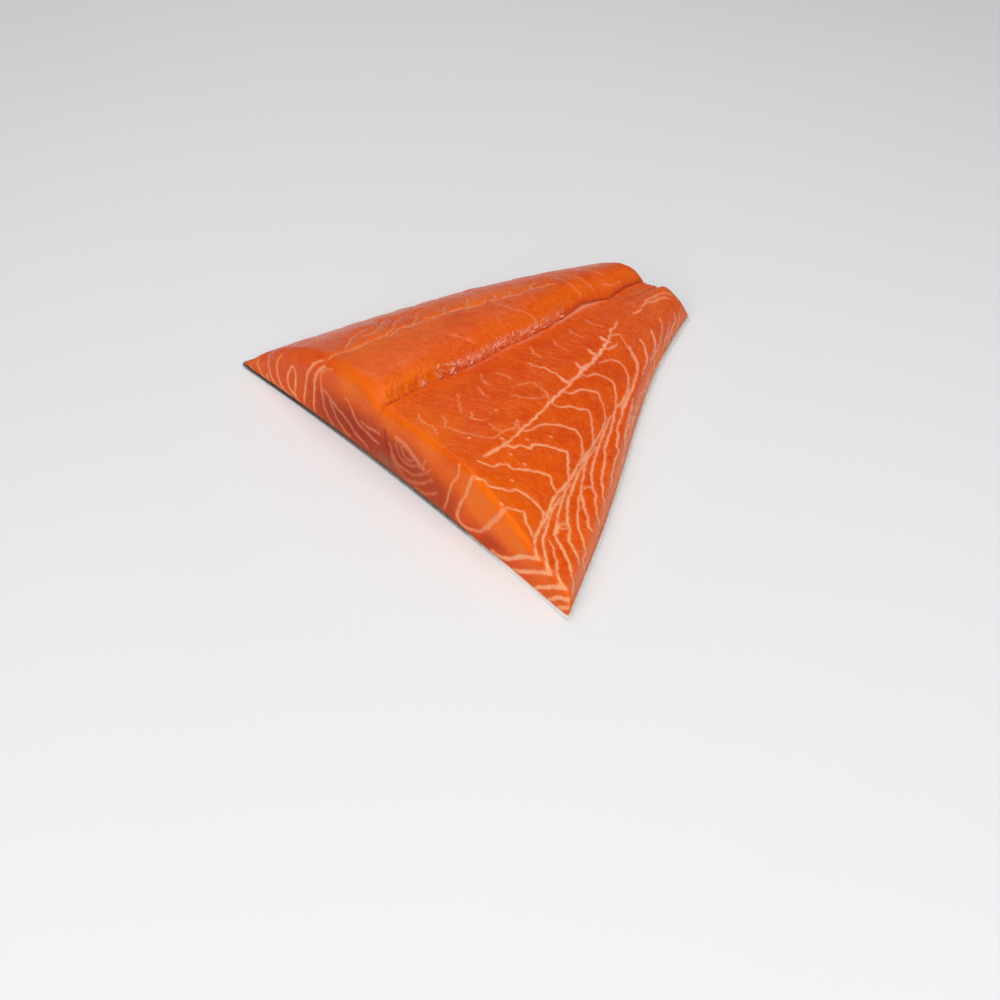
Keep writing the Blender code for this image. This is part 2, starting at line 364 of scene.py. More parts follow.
@dataclass(frozen=True)
class Marbling:
    """All the fat lines of the fillet, drawn by the part of the muscle that they divide."""

    shape: FilletShape
    swept_count: int = 10
    swept_start: float = 16.0
    swept_step: float = 11.0
    swept_rise: float = 17.0
    swept_shares: tuple[float, float, float] = (0.66, 0.80, 0.97)

    def trunk(self) -> list[FatLine]:
        """The branching line along the belly muscle, thick and knotted towards the tail."""
        stem = [(43.5, 11.5), (43, 21), (42.5, 27), (41, 32), (39.5, 38.5), (37.5, 46), (35.5, 52.5),
                (33, 62), (32, 67)]
        thick = [(32, 66.5), (30, 73), (28.5, 78), (27, 83.5), (26, 87.5), (23.5, 94), (21, 100.5)]
        knots = [
            [(31, 68.5), (30, 67), (28, 66.5), (26, 67)],
            [(28.5, 79.5), (27.5, 78.5), (26, 78), (24, 78.5)],
            [(25, 90), (24.5, 89.5), (23, 89), (21, 89)],
            [(21.5, 100.5), (19.5, 99.5), (17.5, 99.5)],
        ]
        twigs = [
            [(21, 100.5), (19.5, 103), (19, 105.5), (20.5, 109)],
            [(23, 95.5), (24, 98), (24, 101), (23, 103.5)],
            [(26, 67), (22.5, 67), (19, 66.5), (15.5, 64.5), (12.5, 64)],
            [(19.5, 103), (17, 106.5), (16, 110), (14, 113.5)],
        ]
        return (
            top_lines([stem], widths=(0.7, 1.1), sink=0.2)
            + top_lines([thick], widths=(1.5, 1.5), sink=-0.1, wave=0.3, wave_length=6.1)
            + top_lines(knots, widths=(1.7, 0.9), sink=-0.15, wave=0.25, wave_length=2.5)
            + top_lines(twigs, widths=(0.9, 0.7), paleness=0.75, sink=0.05, wave=0.3, wave_length=4.0)
        )

    def arches(self) -> list[FatLine]:
        """Nested arches between the trunk and the belly flap."""
        near_tail = [
            [(29.5, 75), (31.5, 77.5), (32, 82), (35, 85), (38, 85.5), (43.5, 81), (48.5, 75)],
            [(34.5, 57.5), (33, 61), (35.5, 64.5), (35.5, 69.5), (38, 74), (39.5, 75), (44.5, 72.5),
             (49.5, 68.5)],
            [(35.5, 53), (39, 54.5), (40, 58.5), (42.5, 61.5), (43.5, 64), (45, 64.5), (50.5, 60),
             (57.5, 53.5)],
            [(41, 32), (42.5, 34.5), (42.5, 41.5), (45, 47), (48.5, 51), (50, 52), (54, 50.5),
             (59, 45.5), (61, 42)],
        ]
        near_cut = [
            [(44, 11.5), (44, 16), (43.5, 20.5), (44.5, 23), (46, 23.5), (46.5, 27), (49, 28.5),
             (48.5, 32), (52, 37), (55, 40), (56.5, 40.5), (61.5, 35.5), (66, 31.5)],
            [(44.5, 8), (49, 10.5), (49.5, 13.5), (51, 16), (53.5, 16.5), (56, 21), (60, 25.5),
             (61.5, 26.5), (64.5, 24.5), (67.5, 23.5), (69, 21.5)],
            [(49, 1.2), (51, 1.8), (52.5, 3), (55.5, 3), (58.5, 6.5), (60, 8), (61, 11), (64.5, 12.5),
             (70.5, 13), (74, 10.5), (75.5, 7.5)],
            [(65, 1.5), (68, 5), (69.5, 6), (72, 4), (76, 2.5), (77.5, 1.5)],
        ]
        return (
            top_lines(near_tail, widths=(0.85, 0.8), paleness=0.75, sink=0.15, wave=0.12, wave_length=5.0)
            + top_lines(near_cut, widths=(0.95, 0.85), paleness=0.9, sink=0.22, wave=0.12, wave_length=4.0)
        )

    def flap(self) -> list[FatLine]:
        """Bundle of lines that run from the cut up the belly flap and close together."""
        inner = [
            [(85.5, -4), (83, -2), (80, 0.5), (78.5, 2.5), (77, 5), (75, 10), (72, 15.5), (70.5, 18),
             (69, 21), (66.5, 29), (64.5, 35), (62, 40), (59.5, 47), (57, 53.5), (54.5, 59.5),
             (51.5, 65.5), (48.5, 70)],
            [(92, -4.5), (89.5, -3), (85, 0.5), (81, 3.5), (79.5, 5.5), (77, 9.5), (74, 14), (71.5, 19),
             (69.5, 24.5), (67.5, 29.5)],
            [(98.5, -4.5), (96.5, -4), (92.5, -1.5), (89.5, 1.5), (87, 3), (84.5, 5), (81.5, 6)],
            [(101, -4), (98.5, 0), (96, 2), (91, 5.5), (86.5, 7.5), (82, 9), (80, 10), (78.5, 12.5),
             (76, 15.5), (74, 18.5), (70.5, 24), (68, 28.5), (67, 31)],
            [(93.5, 8.5), (91, 10), (87, 11.5), (85.5, 12), (83.5, 13.5), (82, 15.5), (78.5, 18),
             (75.5, 21), (72, 25), (69.5, 29.5), (66.5, 34.5), (63.5, 40), (60.5, 46.5), (59, 49.5)],
        ]
        outer = [
            [(95, 10), (92.5, 11.5), (90.5, 14.5), (88, 16.5), (84, 18.5), (80, 21.5), (76, 26),
             (72, 30.5)],
            [(85.5, 23.5), (84, 23), (80.5, 26), (76.5, 28.5), (73.5, 31), (71, 32.5), (67.5, 37),
             (65, 40.5), (61.5, 45.5), (59, 51.5), (58, 54)],
            [(83, 29.5), (80.5, 31), (76.5, 34), (75, 36), (70.5, 39), (66, 43.5), (62.5, 48.5),
             (59.5, 53.5), (56.5, 58.5), (53.5, 64), (49, 72)],
            [(79, 36.5), (74.5, 40.5), (70, 44.5), (66, 50), (62.5, 54.5), (61, 55.5), (57.5, 61),
             (54.5, 66), (51, 71.5), (47, 77), (45, 83), (41, 90.5), (36, 96.5)],
            [(73, 46.5), (69, 52), (65.5, 57), (63, 62), (61.5, 62), (57.5, 67), (54, 70.5), (51, 76),
             (47, 81.5), (43, 90), (38, 99), (34, 104.5), (29.5, 106), (24.5, 107.5), (21.5, 108)],
            [(68.5, 56), (65, 61), (61, 67.5), (58.5, 70), (55, 75), (51, 81), (47.5, 86), (45.5, 89)],
        ]
        links = [
            [(71.5, 38), (70.5, 36.5), (70.5, 34.5)],
            [(79.5, 17.5), (78, 14)],
            [(81, 16), (79.5, 13)],
        ]
        knot = [[(80.5, 9.5), (79.5, 11.5), (78.5, 13.5)]]
        return (
            top_lines(inner, widths=(1.2, 0.5), sink=0.25, wave=0.1, wave_length=4.0)
            + top_lines(outer, widths=(1.05, 0.55), paleness=0.9, sink=0.25, wave=0.12, wave_length=4.0)
            + top_lines(links, widths=(1.0, 1.0), paleness=0.6, sink=0.1, wave=0.0)
            + top_lines(knot, widths=(2.2, 2.2), paleness=0.85, sink=0.1, wave=0.0)
        )

    def belly_edge(self) -> list[FatLine]:
        """Fine nested lines that follow the belly edge towards the tail and bend inwards one by one."""
        bright = [
            [(24.3, 117), (26, 116.7), (28.6, 115.2), (32.2, 112.4), (33.9, 110), (35.6, 106.8),
             (37.6, 103.4)],
            [(22.2, 126), (24.3, 125), (26.7, 123.6), (28.8, 121.3), (31, 117.7), (33, 114.2)],
            [(26, 108.2), (29.4, 107), (31.6, 106.3), (34, 104.2), (36.6, 100.7), (39, 96.8),
             (41.5, 93), (44, 88), (48, 81)],
        ]
        fine = [
            [(27.9, 88.3), (28.2, 92.6), (29, 95.8), (31, 97.5), (33.2, 97.3), (35.8, 96.3),
             (38.2, 94.2), (43.3, 87.4), (47, 80)],
            [(18.9, 135.6), (21.6, 133.8), (24.2, 131), (26, 128.3), (27.8, 125), (31, 119), (36, 111)],
            [(20.8, 140), (22.3, 137.8), (24, 134.6), (25.6, 131.7), (27, 128.8)],
            [(17.9, 146), (19.8, 144.7), (21.3, 141.8), (23.2, 137.7), (26, 132)],
            [(17.8, 149.6), (19.6, 147), (21, 144.5), (24, 138.3)],
            [(10.6, 134.5), (10.2, 139.4), (9.9, 145), (10.7, 149.3), (12.4, 152)],
            [(12, 130), (11.6, 135.3), (12, 140), (11.8, 144.7), (12.8, 147.6)],
            [(13.7, 124), (13.6, 126.7), (13.4, 129.4)],
            [(28.6, 126.6), (31, 122.8), (33, 118), (36, 112.4), (38.3, 108), (44, 98)],
            [(35.7, 110), (37.8, 106.5), (40, 103), (43.3, 96), (48, 88)],
            [(59, 72), (54, 78.5), (47, 90)],
            [(70, 56.5), (62.5, 65.5), (57.5, 71.5), (52, 80.5), (48, 86)],
            [(66, 65), (59, 75.5), (52, 86.5)],
            [(76, 50), (71, 59), (66, 65.5)],
        ]
        return (
            top_lines(bright, widths=(1.3, 0.75), paleness=0.85, sink=0.15, wave=0.12, wave_length=6.0)
            + top_lines(fine, widths=(0.9, 0.7), paleness=0.65, sink=0.15, wave=0.15, wave_length=6.0)
        )

    def loin(self) -> list[FatLine]:
        """Faint broken lines between the seam and the trunk."""
        faint = [
            [(35.5, 53), (33, 54.5), (30, 55.5), (24, 56), (21.5, 55), (21.5, 52), (20.5, 50)],
            [(32, 53), (31, 49.5), (28.5, 47), (26, 45.5), (23.5, 44)],
            [(16, 51.5), (12, 51.5), (9, 50)],
            [(40.5, 32), (38.5, 33.5), (36, 35.5)],
            [(36, 35), (38.5, 31), (38, 27), (36, 25), (31.5, 25.5)],
            [(10, 29.5), (13.5, 27), (17, 24.5), (20, 22.5)],
            [(22, 25.5), (24.5, 23.5), (27.5, 24.5), (29.5, 27)],
            [(17.5, 16), (20.5, 14), (23, 12.5), (28.5, 14.5), (34.5, 17.5), (38, 20), (38.5, 25)],
            [(10, 10.5), (14, 8.5), (19, 9), (24, 7.5)],
            [(12, 38.5), (15, 37), (19.5, 36.5)],
            [(5, 46), (9, 43.5), (13, 42.5)],
            [(4, 74), (8, 71.5), (13, 71)],
            [(6, 84), (11, 82), (16, 82.5)],
            [(4, 95), (9, 93.5), (14, 94)],
            [(3, 106), (8, 104.5), (13, 106)],
        ]
        return top_lines(faint, widths=(0.9, 0.75), paleness=0.36, sink=0.08, wave=0.3, wave_length=4.0)

    def crease(self) -> list[FatLine]:
        """The broken crease along the loin's crown, with a lip at the end of each flake."""
        lips = [
            [(-38.5, 6.5), (-37, 12), (-35.5, 16), (-35, 20), (-35, 25), (-34.5, 29.5), (-33.5, 32.5)],
            [(-38, 15), (-42.5, 20), (-45.5, 25), (-47, 30.5), (-47.5, 34.5)],
            [(-40.5, 25.5), (-40.5, 29.5), (-41, 32.5), (-44.5, 37), (-48.5, 41.5)],
            [(-33.5, 31.5), (-35.5, 34.5), (-37, 38), (-41, 42), (-42.5, 44.5), (-44.5, 48)],
            [(-31, 32), (-33, 35), (-34, 38.5), (-33.5, 41), (-32, 43), (-34, 46.5), (-35.5, 49),
             (-39.5, 52), (-41.5, 55), (-42.5, 57.5)],
            [(-31, 44.5), (-32, 49), (-31.5, 52.5), (-30.5, 58), (-30.5, 59), (-33, 61.5), (-36.5, 64.5)],
            [(-30, 58.5), (-29.5, 61), (-29, 64), (-28, 67), (-27.5, 68.5), (-30.5, 72), (-33.5, 74.5)],
            [(-26.5, 68), (-25.5, 71), (-25, 74), (-25, 78), (-24.5, 81), (-27.5, 84.5)],
            [(-23.5, 80.5), (-22.5, 84), (-22.5, 88), (-26, 91)],
            [(-22, 87), (-20, 90), (-21, 95), (-21, 98), (-24, 101.5), (-25.5, 105.5)],
            [(-20.5, 98.5), (-19.5, 102.5), (-18.5, 106), (-17.5, 108.5)],
        ]
        return top_lines(lips, widths=(0.95, 0.7), paleness=0.6, sink=1.0, wave=0.2, wave_length=5.0)

    def back(self) -> list[FatLine]:
        """Faint curved flake lines that sweep over the back's edge and across the tail."""
        swept = []
        near, middle, far = self.swept_shares
        for step in range(self.swept_count):
            y = self.swept_start + self.swept_step * step
            s = min(y / self.shape.length, 1.0)
            edge = float(self.shape.half_width(np.array(-1.0), np.array(s)))
            rise = self.swept_rise * (1.0 - 0.5 * s)
            swept.append([(-near * edge, y), (-middle * edge, y + 0.45 * rise), (-far * edge, y + rise)])
        tail = [
            [(-26, 77.5), (-20.5, 78), (-16, 78.5), (-12.5, 80), (-10.5, 82.5), (-7, 86)],
            [(-14.5, 48.5), (-12.5, 50), (-10.5, 52), (-8.5, 54)],
            [(-23, 113.5), (-17.5, 113.5), (-14, 113.5), (-11, 114), (-7.5, 114.5)],
            [(-26, 121), (-19, 120), (-13.5, 120.5), (-10, 121.5), (-7.5, 122.5)],
            [(-38.5, 109.5), (-35.5, 113), (-31, 114), (-26.5, 115.5)],
            [(-30, 131), (-24, 129), (-17, 129.5), (-11, 131.5)],
            [(-8, 128), (-6.5, 133), (-6.5, 138)],
        ]
        return (
            top_lines(swept, widths=(1.1, 0.8), paleness=0.3, sink=0.3, wave=0.15, wave_length=14.0)
            + top_lines(tail, widths=(0.8, 0.8), paleness=0.3, sink=0.12, wave=0.15, wave_length=8.0)
        )

    def specks(self) -> list[FatLine]:
        """Tiny raised beads of fat on the belly."""
        places = [(40.5, 23), (48, 40), (53.5, 21.5), (48, 20), (63, 1), (45.5, 30.5), (33, 14),
                  (27, 33), (57, 12)]
        beads = [[(x, y), (x + 0.5, y + 0.25)] for x, y in places]
        return top_lines(beads, widths=(0.75, 0.75), sink=-0.35, wave=0.0)

    def cut_back(self) -> list[FatLine]:
        """Loops and upright lines of the back muscle on the cut."""
        crisp = [
            [(-57.5, 16), (-59.5, 13.5), (-61, 9.5), (-60, 5.6), (-58, 4), (-55.5, 3), (-53, 1.8)],
            [(-57.5, 16), (-56, 15), (-55.6, 12), (-56, 6), (-55.2, 3.4)],
            [(-67, 17.5), (-68, 13.5), (-68.3, 10), (-67.5, 6.5), (-65.5, 4), (-62.5, 2.2), (-58.5, 1.6)],
            [(-76.4, 13), (-75.4, 11), (-73.8, 7.8), (-72.8, 5), (-70.8, 3.2), (-68, 2), (-65.5, 1.5)],
            [(-82.6, 7.4), (-81.8, 5.4), (-80.6, 4), (-78.8, 2.4), (-77, 1.4)],
            [(-87, 3), (-85.4, 1.8), (-84, 1.4)],
            [(-75.3, 3.6), (-74.7, 2.2), (-73.6, 1.4)],
            [(-40.7, 27.4), (-43.8, 24.2), (-46, 20.5), (-47.6, 17.5), (-48.6, 14), (-49.2, 10),
             (-49.9, 6), (-50.2, 2.4)],
            [(-37.5, 25.5), (-40, 23), (-42.2, 19.7), (-43.2, 16), (-43.4, 13), (-43.8, 8), (-44, 5.3),
             (-43.2, 2.5)],
        ]
        soft = [
            [(-33, 26.3), (-36, 24.8), (-38.7, 21.8), (-39.3, 18.9), (-39.2, 15.8), (-38, 10.6),
             (-37.2, 7.8), (-35.8, 5.2), (-34.2, 3.4), (-31.5, 2)],
            [(-39.3, 15.4), (-36, 14.3), (-33, 13.2), (-29.7, 11.7), (-26.5, 10.4), (-23.3, 9.4),
             (-20.8, 7.8), (-18.2, 6.2), (-14.4, 5), (-10, 3.6)],
            [(-33.8, 12.3), (-32.2, 10), (-29.6, 6.8), (-27, 5), (-24.4, 3.6), (-20.6, 2.8)],
            [(-24.2, 18), (-21.7, 17), (-19.8, 15), (-18.5, 13), (-15.9, 11.3), (-12.2, 10.2),
             (-7.2, 9.4), (-3, 9.2)],
            [(-14, 13), (-11, 12.5), (-6.8, 13), (-2.6, 13.6)],
        ]
        return (
            cut_lines(crisp, widths=(1.1, 1.0), paleness=0.68, sink=0.08, wave=0.1, wave_length=8.0)
            + cut_lines(soft, widths=(1.2, 1.0), paleness=0.34, sink=0.08, wave=0.15, wave_length=8.0)
        )

    def cut_belly(self) -> list[FatLine]:
        """Bowl-shaped rings of the belly muscle on the cut, and the slanted lines of the flap."""
        rings = [
            [(9.8, 15.1), (10.6, 13), (12.4, 11.8), (14.8, 11.8), (17, 13.1)],
            [(6.9, 14.4), (8, 11.9), (9.6, 10.2), (12, 9.4), (15.5, 10), (19.5, 11.7), (22.7, 14.2),
             (24.7, 17.5)],
            [(6.1, 9.1), (7.7, 6.9), (10.2, 6.1), (13.4, 6.2), (17.5, 7), (21.4, 9.1), (24.7, 11.9),
             (27.3, 15)],
            [(12.6, 2.4), (15.5, 2.9), (18.9, 4.1), (22.3, 6.1), (25.6, 8.5), (28.7, 11.4)],
            [(19.1, 2), (22, 2.4), (25.5, 3.2), (28.8, 5.1), (31.4, 7.4)],
            [(2.9, 12.6), (4.5, 10.9), (5, 8), (6.3, 5.7), (8.8, 4.4), (11.9, 3.3), (14.9, 2.2)],
        ]
        band = [[(7.3, 17.2), (12.1, 16.8), (15.1, 15.5), (18.1, 14.6), (20.5, 13.4), (23.4, 12.9)]]
        thin = [
            [(41.6, 25.4), (42, 22.8), (41.4, 20), (39.5, 16.4), (38.2, 13), (37.7, 10), (36.9, 6.5),
             (35.9, 3.2)],
        ]
        bold = [
            [(48.6, 24), (48.1, 21), (47.1, 18), (46.3, 15.3), (45, 12), (43.8, 8.6), (43.2, 6),
             (43.4, 4), (46.1, 2.6), (50, 2.9)],
        ]
        broad = [
            [(50, 2.9), (53.7, 4.4), (56.2, 6.3), (59, 9.6), (61, 12.8), (63.3, 16.2), (65.2, 19.5),
             (66, 21.5)],
        ]
        flap = [
            [(62.5, 1.6), (67.4, 2), (70.7, 3.6), (74.5, 6.5), (78.6, 10), (82.4, 12), (84.8, 13.2)],
            [(74.5, 1.6), (77.5, 2.6), (80, 4.4), (83.5, 6.7), (87.5, 9.2), (91.7, 11.7)],
            [(86, 1.6), (87.5, 2.8), (92.6, 6.7), (96, 9), (98.9, 10.8)],
            [(92.6, 1.4), (94.7, 3.1), (97.1, 5.4), (99.1, 6.5), (101.4, 7.4)],
            [(97.4, 1.4), (98.7, 2.3), (100.6, 3.8), (102, 4.6)],
        ]
        return (
            cut_lines(rings, widths=(1.2, 1.1), paleness=0.22, sink=0.05, wave=0.15, wave_length=9.0)
            + cut_lines(band, widths=(3.0, 2.2), paleness=0.35, sink=0.0, wave=0.1)
            + cut_lines(thin, widths=(1.0, 0.9), paleness=0.45, sink=0.05, wave=0.1, wave_length=7.0)
            + cut_lines(bold, widths=(1.9, 1.3), paleness=0.6, sink=0.08, wave=0.1, wave_length=8.0)
            + cut_lines(broad, widths=(1.3, 2.2), paleness=0.5, sink=0.06, wave=0.2, wave_length=7.0)
            + cut_lines(flap, widths=(1.3, 1.7), paleness=0.9, sink=0.12, wave=0.1, wave_length=7.0)
        )

    def all(self) -> list[FatLine]:
        """Every fat line, in the order that fixes the waves of each."""
        on_top = (self.trunk, self.arches, self.flap, self.belly_edge, self.loin, self.crease, self.back)
        return [line for group in (*on_top, self.specks, self.cut_back, self.cut_belly) for line in group()]


@dataclass
class Relation:
    """How each point of the flesh lies to its nearest fat line."""

    offset: Array
    distance: Array
    width: Array
    paleness: Array
    sink: Array


class FatMap:
    """The fat lines laid on the flesh, ready to be asked for the nearest one."""

    END_WIDTH = 0.55

    def __init__(self, shape: FilletShape, lines: list[FatLine], surface: BVHTree) -> None:
        """Lay every line on the surface.

        Args:
            shape: The fillet's sizes.
            lines: The lines to lay.
            surface: The smooth flesh, which the lines are snapped to.
        """
        places, headings, facts = [], [], []
        for number, line in enumerate(lines):
            course, share = line.course(1000 + number)
            places.append(self._lay(shape, line.face, course))
            heading = unit(np.gradient(places[-1], axis=0))
            heading[[0, -1]] = 0.0
            headings.append(heading)
            middle = np.sqrt(clamp(4.0 * share * (1.0 - share) + 0.15))
            width = mix(*line.widths, share) * mix(self.END_WIDTH, 1.0, middle)
            same = np.ones_like(share)
            facts.append(np.stack([width, line.paleness * same, line.sink * same], axis=1))
        self._places = np.concatenate(places)
        self._headings = np.concatenate(headings)
        self._facts = np.concatenate(facts)
        self._tree = KDTree(len(self._places))
        for index, place in enumerate(self._places):
            on_flesh = surface.find_nearest(place)[0]
            self._places[index] = on_flesh
            self._tree.insert(on_flesh, index)
        self._tree.balance()

    @staticmethod
    def _lay(shape: FilletShape, face: Face, course: Array) -> Array:
        """Course of a line as points of space, on the top or on the cut."""
        x, other = course[:, 0], course[:, 1]
        if face is Face.CUT:
            return np.stack([x, shape.along(x, other, np.zeros_like(x)), other], axis=1)
        s = shape.station(x, other)
        return np.stack([x, other, shape.top(x, s)], axis=1)

    def relate(self, points: Array) -> Relation:
        """Nearest line of each point.

        Args:
            points: Points of the smooth flesh.

        Returns:
            Offset to the nearest line, the distance, and that line's facts.
        """
        found = np.array([self._tree.find(point)[1] for point in points])
        offset = self._places[found] - points
        heading = self._headings[found]
        offset -= heading * np.sum(offset * heading, axis=1)[:, None]
        width, paleness, sink = self._facts[found].T
        return Relation(offset, np.linalg.norm(offset, axis=1), width, paleness, sink)


@dataclass(frozen=True)
class SeamGroove:
    """The seam: torn and deep near the cut, a fine crease further on, split in two at the tail.

    A pair of sizes gives the one of the fine crease and the one of the open tear.
    """

    torn_fade: Pair = (31.0, 45.0)
    depths: Pair = (0.75, 2.4)
    back_reach: Pair = (0.9, 2.7)
    lip_reach: Pair = (0.55, 1.1)
    wander_reach: Pair = (0.35, 0.6)
    mouth: Pair = (8.0, 12.0)
    mouth_width: float = 0.4
    opening: Pair = (0.0, 14.0)
    opening_depth: float = 0.35
    split: Pair = (128.0, 146.0)
    split_depth: float = 0.75
    ridge: Span = Span((88.0, 94.0), (121.0, 128.0))
    tear: Pair = (1.0, 7.0)
    tufted: Span = Span((22.0, 34.0), (96.0, 110.0))
    bends: tuple[Pair, ...] = (
        (0.0, -3.2),
        (24.0, -3.3),
        (38.0, -2.7),
        (52.0, -2.2),
        (65.0, -2.9),
        (76.0, -2.5),
        (88.0, -2.6),
        (100.0, -3.8),
        (113.0, -5.2),
        (122.0, -4.1),
        (129.0, -3.3),
        (139.0, -4.2),
        (152.0, -3.6),
    )
    wander: Noise = field(default_factory=lambda: Noise(41))

    def torn(self, y: Array) -> Array:
        """1 where the seam is torn open, 0 where it is a fine line."""
        return 1.0 - smooth(*self.torn_fade, y)

    def centre(self, y: Array) -> Array:
        """Place of the groove's deepest line."""
        line = np.stack([y, np.full_like(y, 3.0), np.full_like(y, 7.0)], axis=1)
        wander = mix(*self.wander_reach, self.torn(y)) * self.wander.layered(line, 7.0, 3)
        places, offsets = np.array(self.bends).T
        return np.interp(y, places, offsets) + wander

    def lip(self, y: Array) -> Array:
        """Half width on the belly side, which opens into a mouth at the cut."""
        return mix(*self.lip_reach, self.torn(y)) + self.mouth_width * (1.0 - smooth(*self.mouth, y))

    def depth(self, x: Array, y: Array) -> Array:
        """Depth below the smooth top."""
        off, torn = x - self.centre(y), self.torn(y)
        back = bell(off, 0.0, mix(*self.back_reach, torn))
        belly = np.exp(-((off / self.lip(y)) ** 4))
        second = self.split_depth * smooth(*self.split, y) * bell(x, 3.6 + 0.02 * (y - 140.0), 1.4)
        opening = mix(self.opening_depth, 1.0, smooth(*self.opening, y))
        return mix(*self.depths, torn) * np.where(off < 0.0, back, belly) * opening + second

    def tufts(self, x: Array, y: Array) -> Array:
        """1 where torn muscle stands up: all over the open tear, and on the fine line's back side."""
        off = x - self.centre(y)
        open_tear = self.torn(y) * bell(off, -2.0, 3.2) * smooth(*self.tear, y)
        return clamp(open_tear + self.tufted.at(y) * bell(off, -2.0, 1.7))

    def rim(self, x: Array, y: Array) -> Array:
        """Height of the raised rim on the belly side and of the pale ridge nearer the tail."""
        off = x - self.centre(y) - self.lip(y)
        return 0.45 * self.torn(y) * bell(off, 1.2, 1.2) + 0.8 * self.ridge.at(y) * bell(off, 0.9, 1.1)


class Zone(float, Enum):
    """Part of the flesh that a row lies on; what fades between parts reads it as a number."""

    CUT = 0.0
    CUT_EDGE = 0.5
    TOP = 1.0
    TAIL_EDGE = 1.5
    TAIL = 2.0


Row = tuple[Array, Array, Array, Array, Zone]


@dataclass
class FleshGrid:
    """Rows and columns of the flesh's surface, before any relief."""

    points: Array
    station: Array
    zone: Array
    rows: int
    columns: int

    @classmethod
    def of(cls, rows: list[Row]) -> "FleshGrid":
        """Grid of rows that each give x, y, z, the station and the zone."""
        points = np.array([np.stack(row[:3], axis=1) for row in rows])
        station = np.array([row[3] for row in rows])
        zone = np.array([np.full(len(row[0]), row[4].value) for row in rows])
        return cls(points.reshape(-1, 3), station.ravel(), zone.ravel(), len(rows), points.shape[1])

    def on_top(self) -> Array:
        """1 on the top, fading over the rounded edges."""
        return smooth(0.2, 1.0, self.zone) * (1.0 - smooth(1.3, 2.0, self.zone))

    def on_cut(self) -> Array:
        """1 on the cut, fading over its rounded edge."""
        return 1.0 - smooth(0.2, 0.9, self.zone)

    def faces(self) -> Array:
        """Quads that face outwards."""
        index = np.arange(self.rows * self.columns).reshape(self.rows, self.columns)
        corners = (index[:-1, :-1], index[:-1, 1:], index[1:, 1:], index[1:, :-1])
        return np.stack([corner.ravel() for corner in corners], axis=1)

    def normals(self) -> Array:
        """Unit normals of the points."""
        table = self.points.reshape(self.rows, self.columns, 3)
        return unit(np.cross(np.gradient(table, axis=1), np.gradient(table, axis=0)).reshape(-1, 3))


@dataclass(frozen=True)
class FleshRelief:
    """Fine shape over the smooth flesh. A pair of a noise gives the size and the height of its lumps."""

    lumps: Pair = (15.0, 0.28)
    ripples: Pair = (3.6, 0.10)
    fibres: Pair = (1.6, 0.05)
    tear: Pair = (3.4, 0.8)
    tufts: Pair = (3.0, 0.5)
    fat_reach: Pair = (0.35, 0.75)
    swelling_height: float = 2.6
    swelling_centre: float = -8.5
    swelling_reach: float = 6.0
    swelling: Span = Span((0.0, 12.0), (85.0, 120.0))
    flap_line: tuple[float, float, float] = (78.5, -0.42, -0.0006)
    flap_step: Pair = (3.0, 0.35)
    edge_fade: float = 0.04
    foot_fade: float = 1.5

    def height(self, shape: FilletShape, grid: FleshGrid, near: Relation, groove: SeamGroove) -> Array:
        """Height over the smooth surface.

        Args:
            shape: The fillet's sizes.
            grid: The smooth surface.
            near: Relation of each point to its nearest fat line.
            groove: The seam.

        Returns:
            Height of each point, negative where it sinks.
        """
        x, y, z = grid.points.T
        on_top = grid.on_top()
        lump, fine = Noise(11), Noise(12)
        rise = self.lumps[1] * lump.layered(grid.points, self.lumps[0])
        rise += self.ripples[1] * fine.layered(grid.points, self.ripples[0])
        fibres = np.stack([x + 0.55 * y, 0.2 * (y - 0.55 * x), z], axis=1)
        rise += self.fibres[1] * fine.layered(fibres, self.fibres[0]) * on_top
        reach, widening = self.fat_reach
        rise -= near.sink * np.exp(-near.distance / (reach + widening * near.width))
        depth, rim = groove.depth(x, y), groove.rim(x, y)
        rough = clamp(depth / 1.5) * groove.torn(y)
        rise += on_top * (rim - depth + rough * self.tear[1] * fine.layered(grid.points, self.tear[0]))
        swelling = self.swelling_height * bell(x, self.swelling_centre, self.swelling_reach)
        rise += on_top * swelling * self.swelling.at(y)
        tuft = self.tufts[1] * clamp(fine.layered(grid.points + 9.0, self.tufts[0]) + 0.2)
        rise += on_top * groove.tufts(x, y) * tuft
        start, slope, curve = self.flap_line
        past_line = (x - (start + slope * y + curve * y**2)) / self.flap_step[0]
        rise -= on_top * self.flap_step[1] * smooth(0.0, 1.0, past_line) * (x > 0)
        edge = smooth(0.0, self.edge_fade, 1.0 - shape.side_share(x, grid.station))
        foot = smooth(0.0, self.foot_fade, z - shape.floor(x, grid.station))
        return rise * edge * mix(foot, 1.0, on_top)


@dataclass(frozen=True)
class Patch:
    """Soft oval patch of colour on the cut."""

    x: float
    z: float
    reach_x: float
    reach_z: float
    strength: float = 1.0

    def on(self, x: Array, z: Array) -> Array:
        """Strength of the patch at each place on the cut."""
        return self.strength * bell(x, self.x, self.reach_x) * bell(z, self.z, self.reach_z)


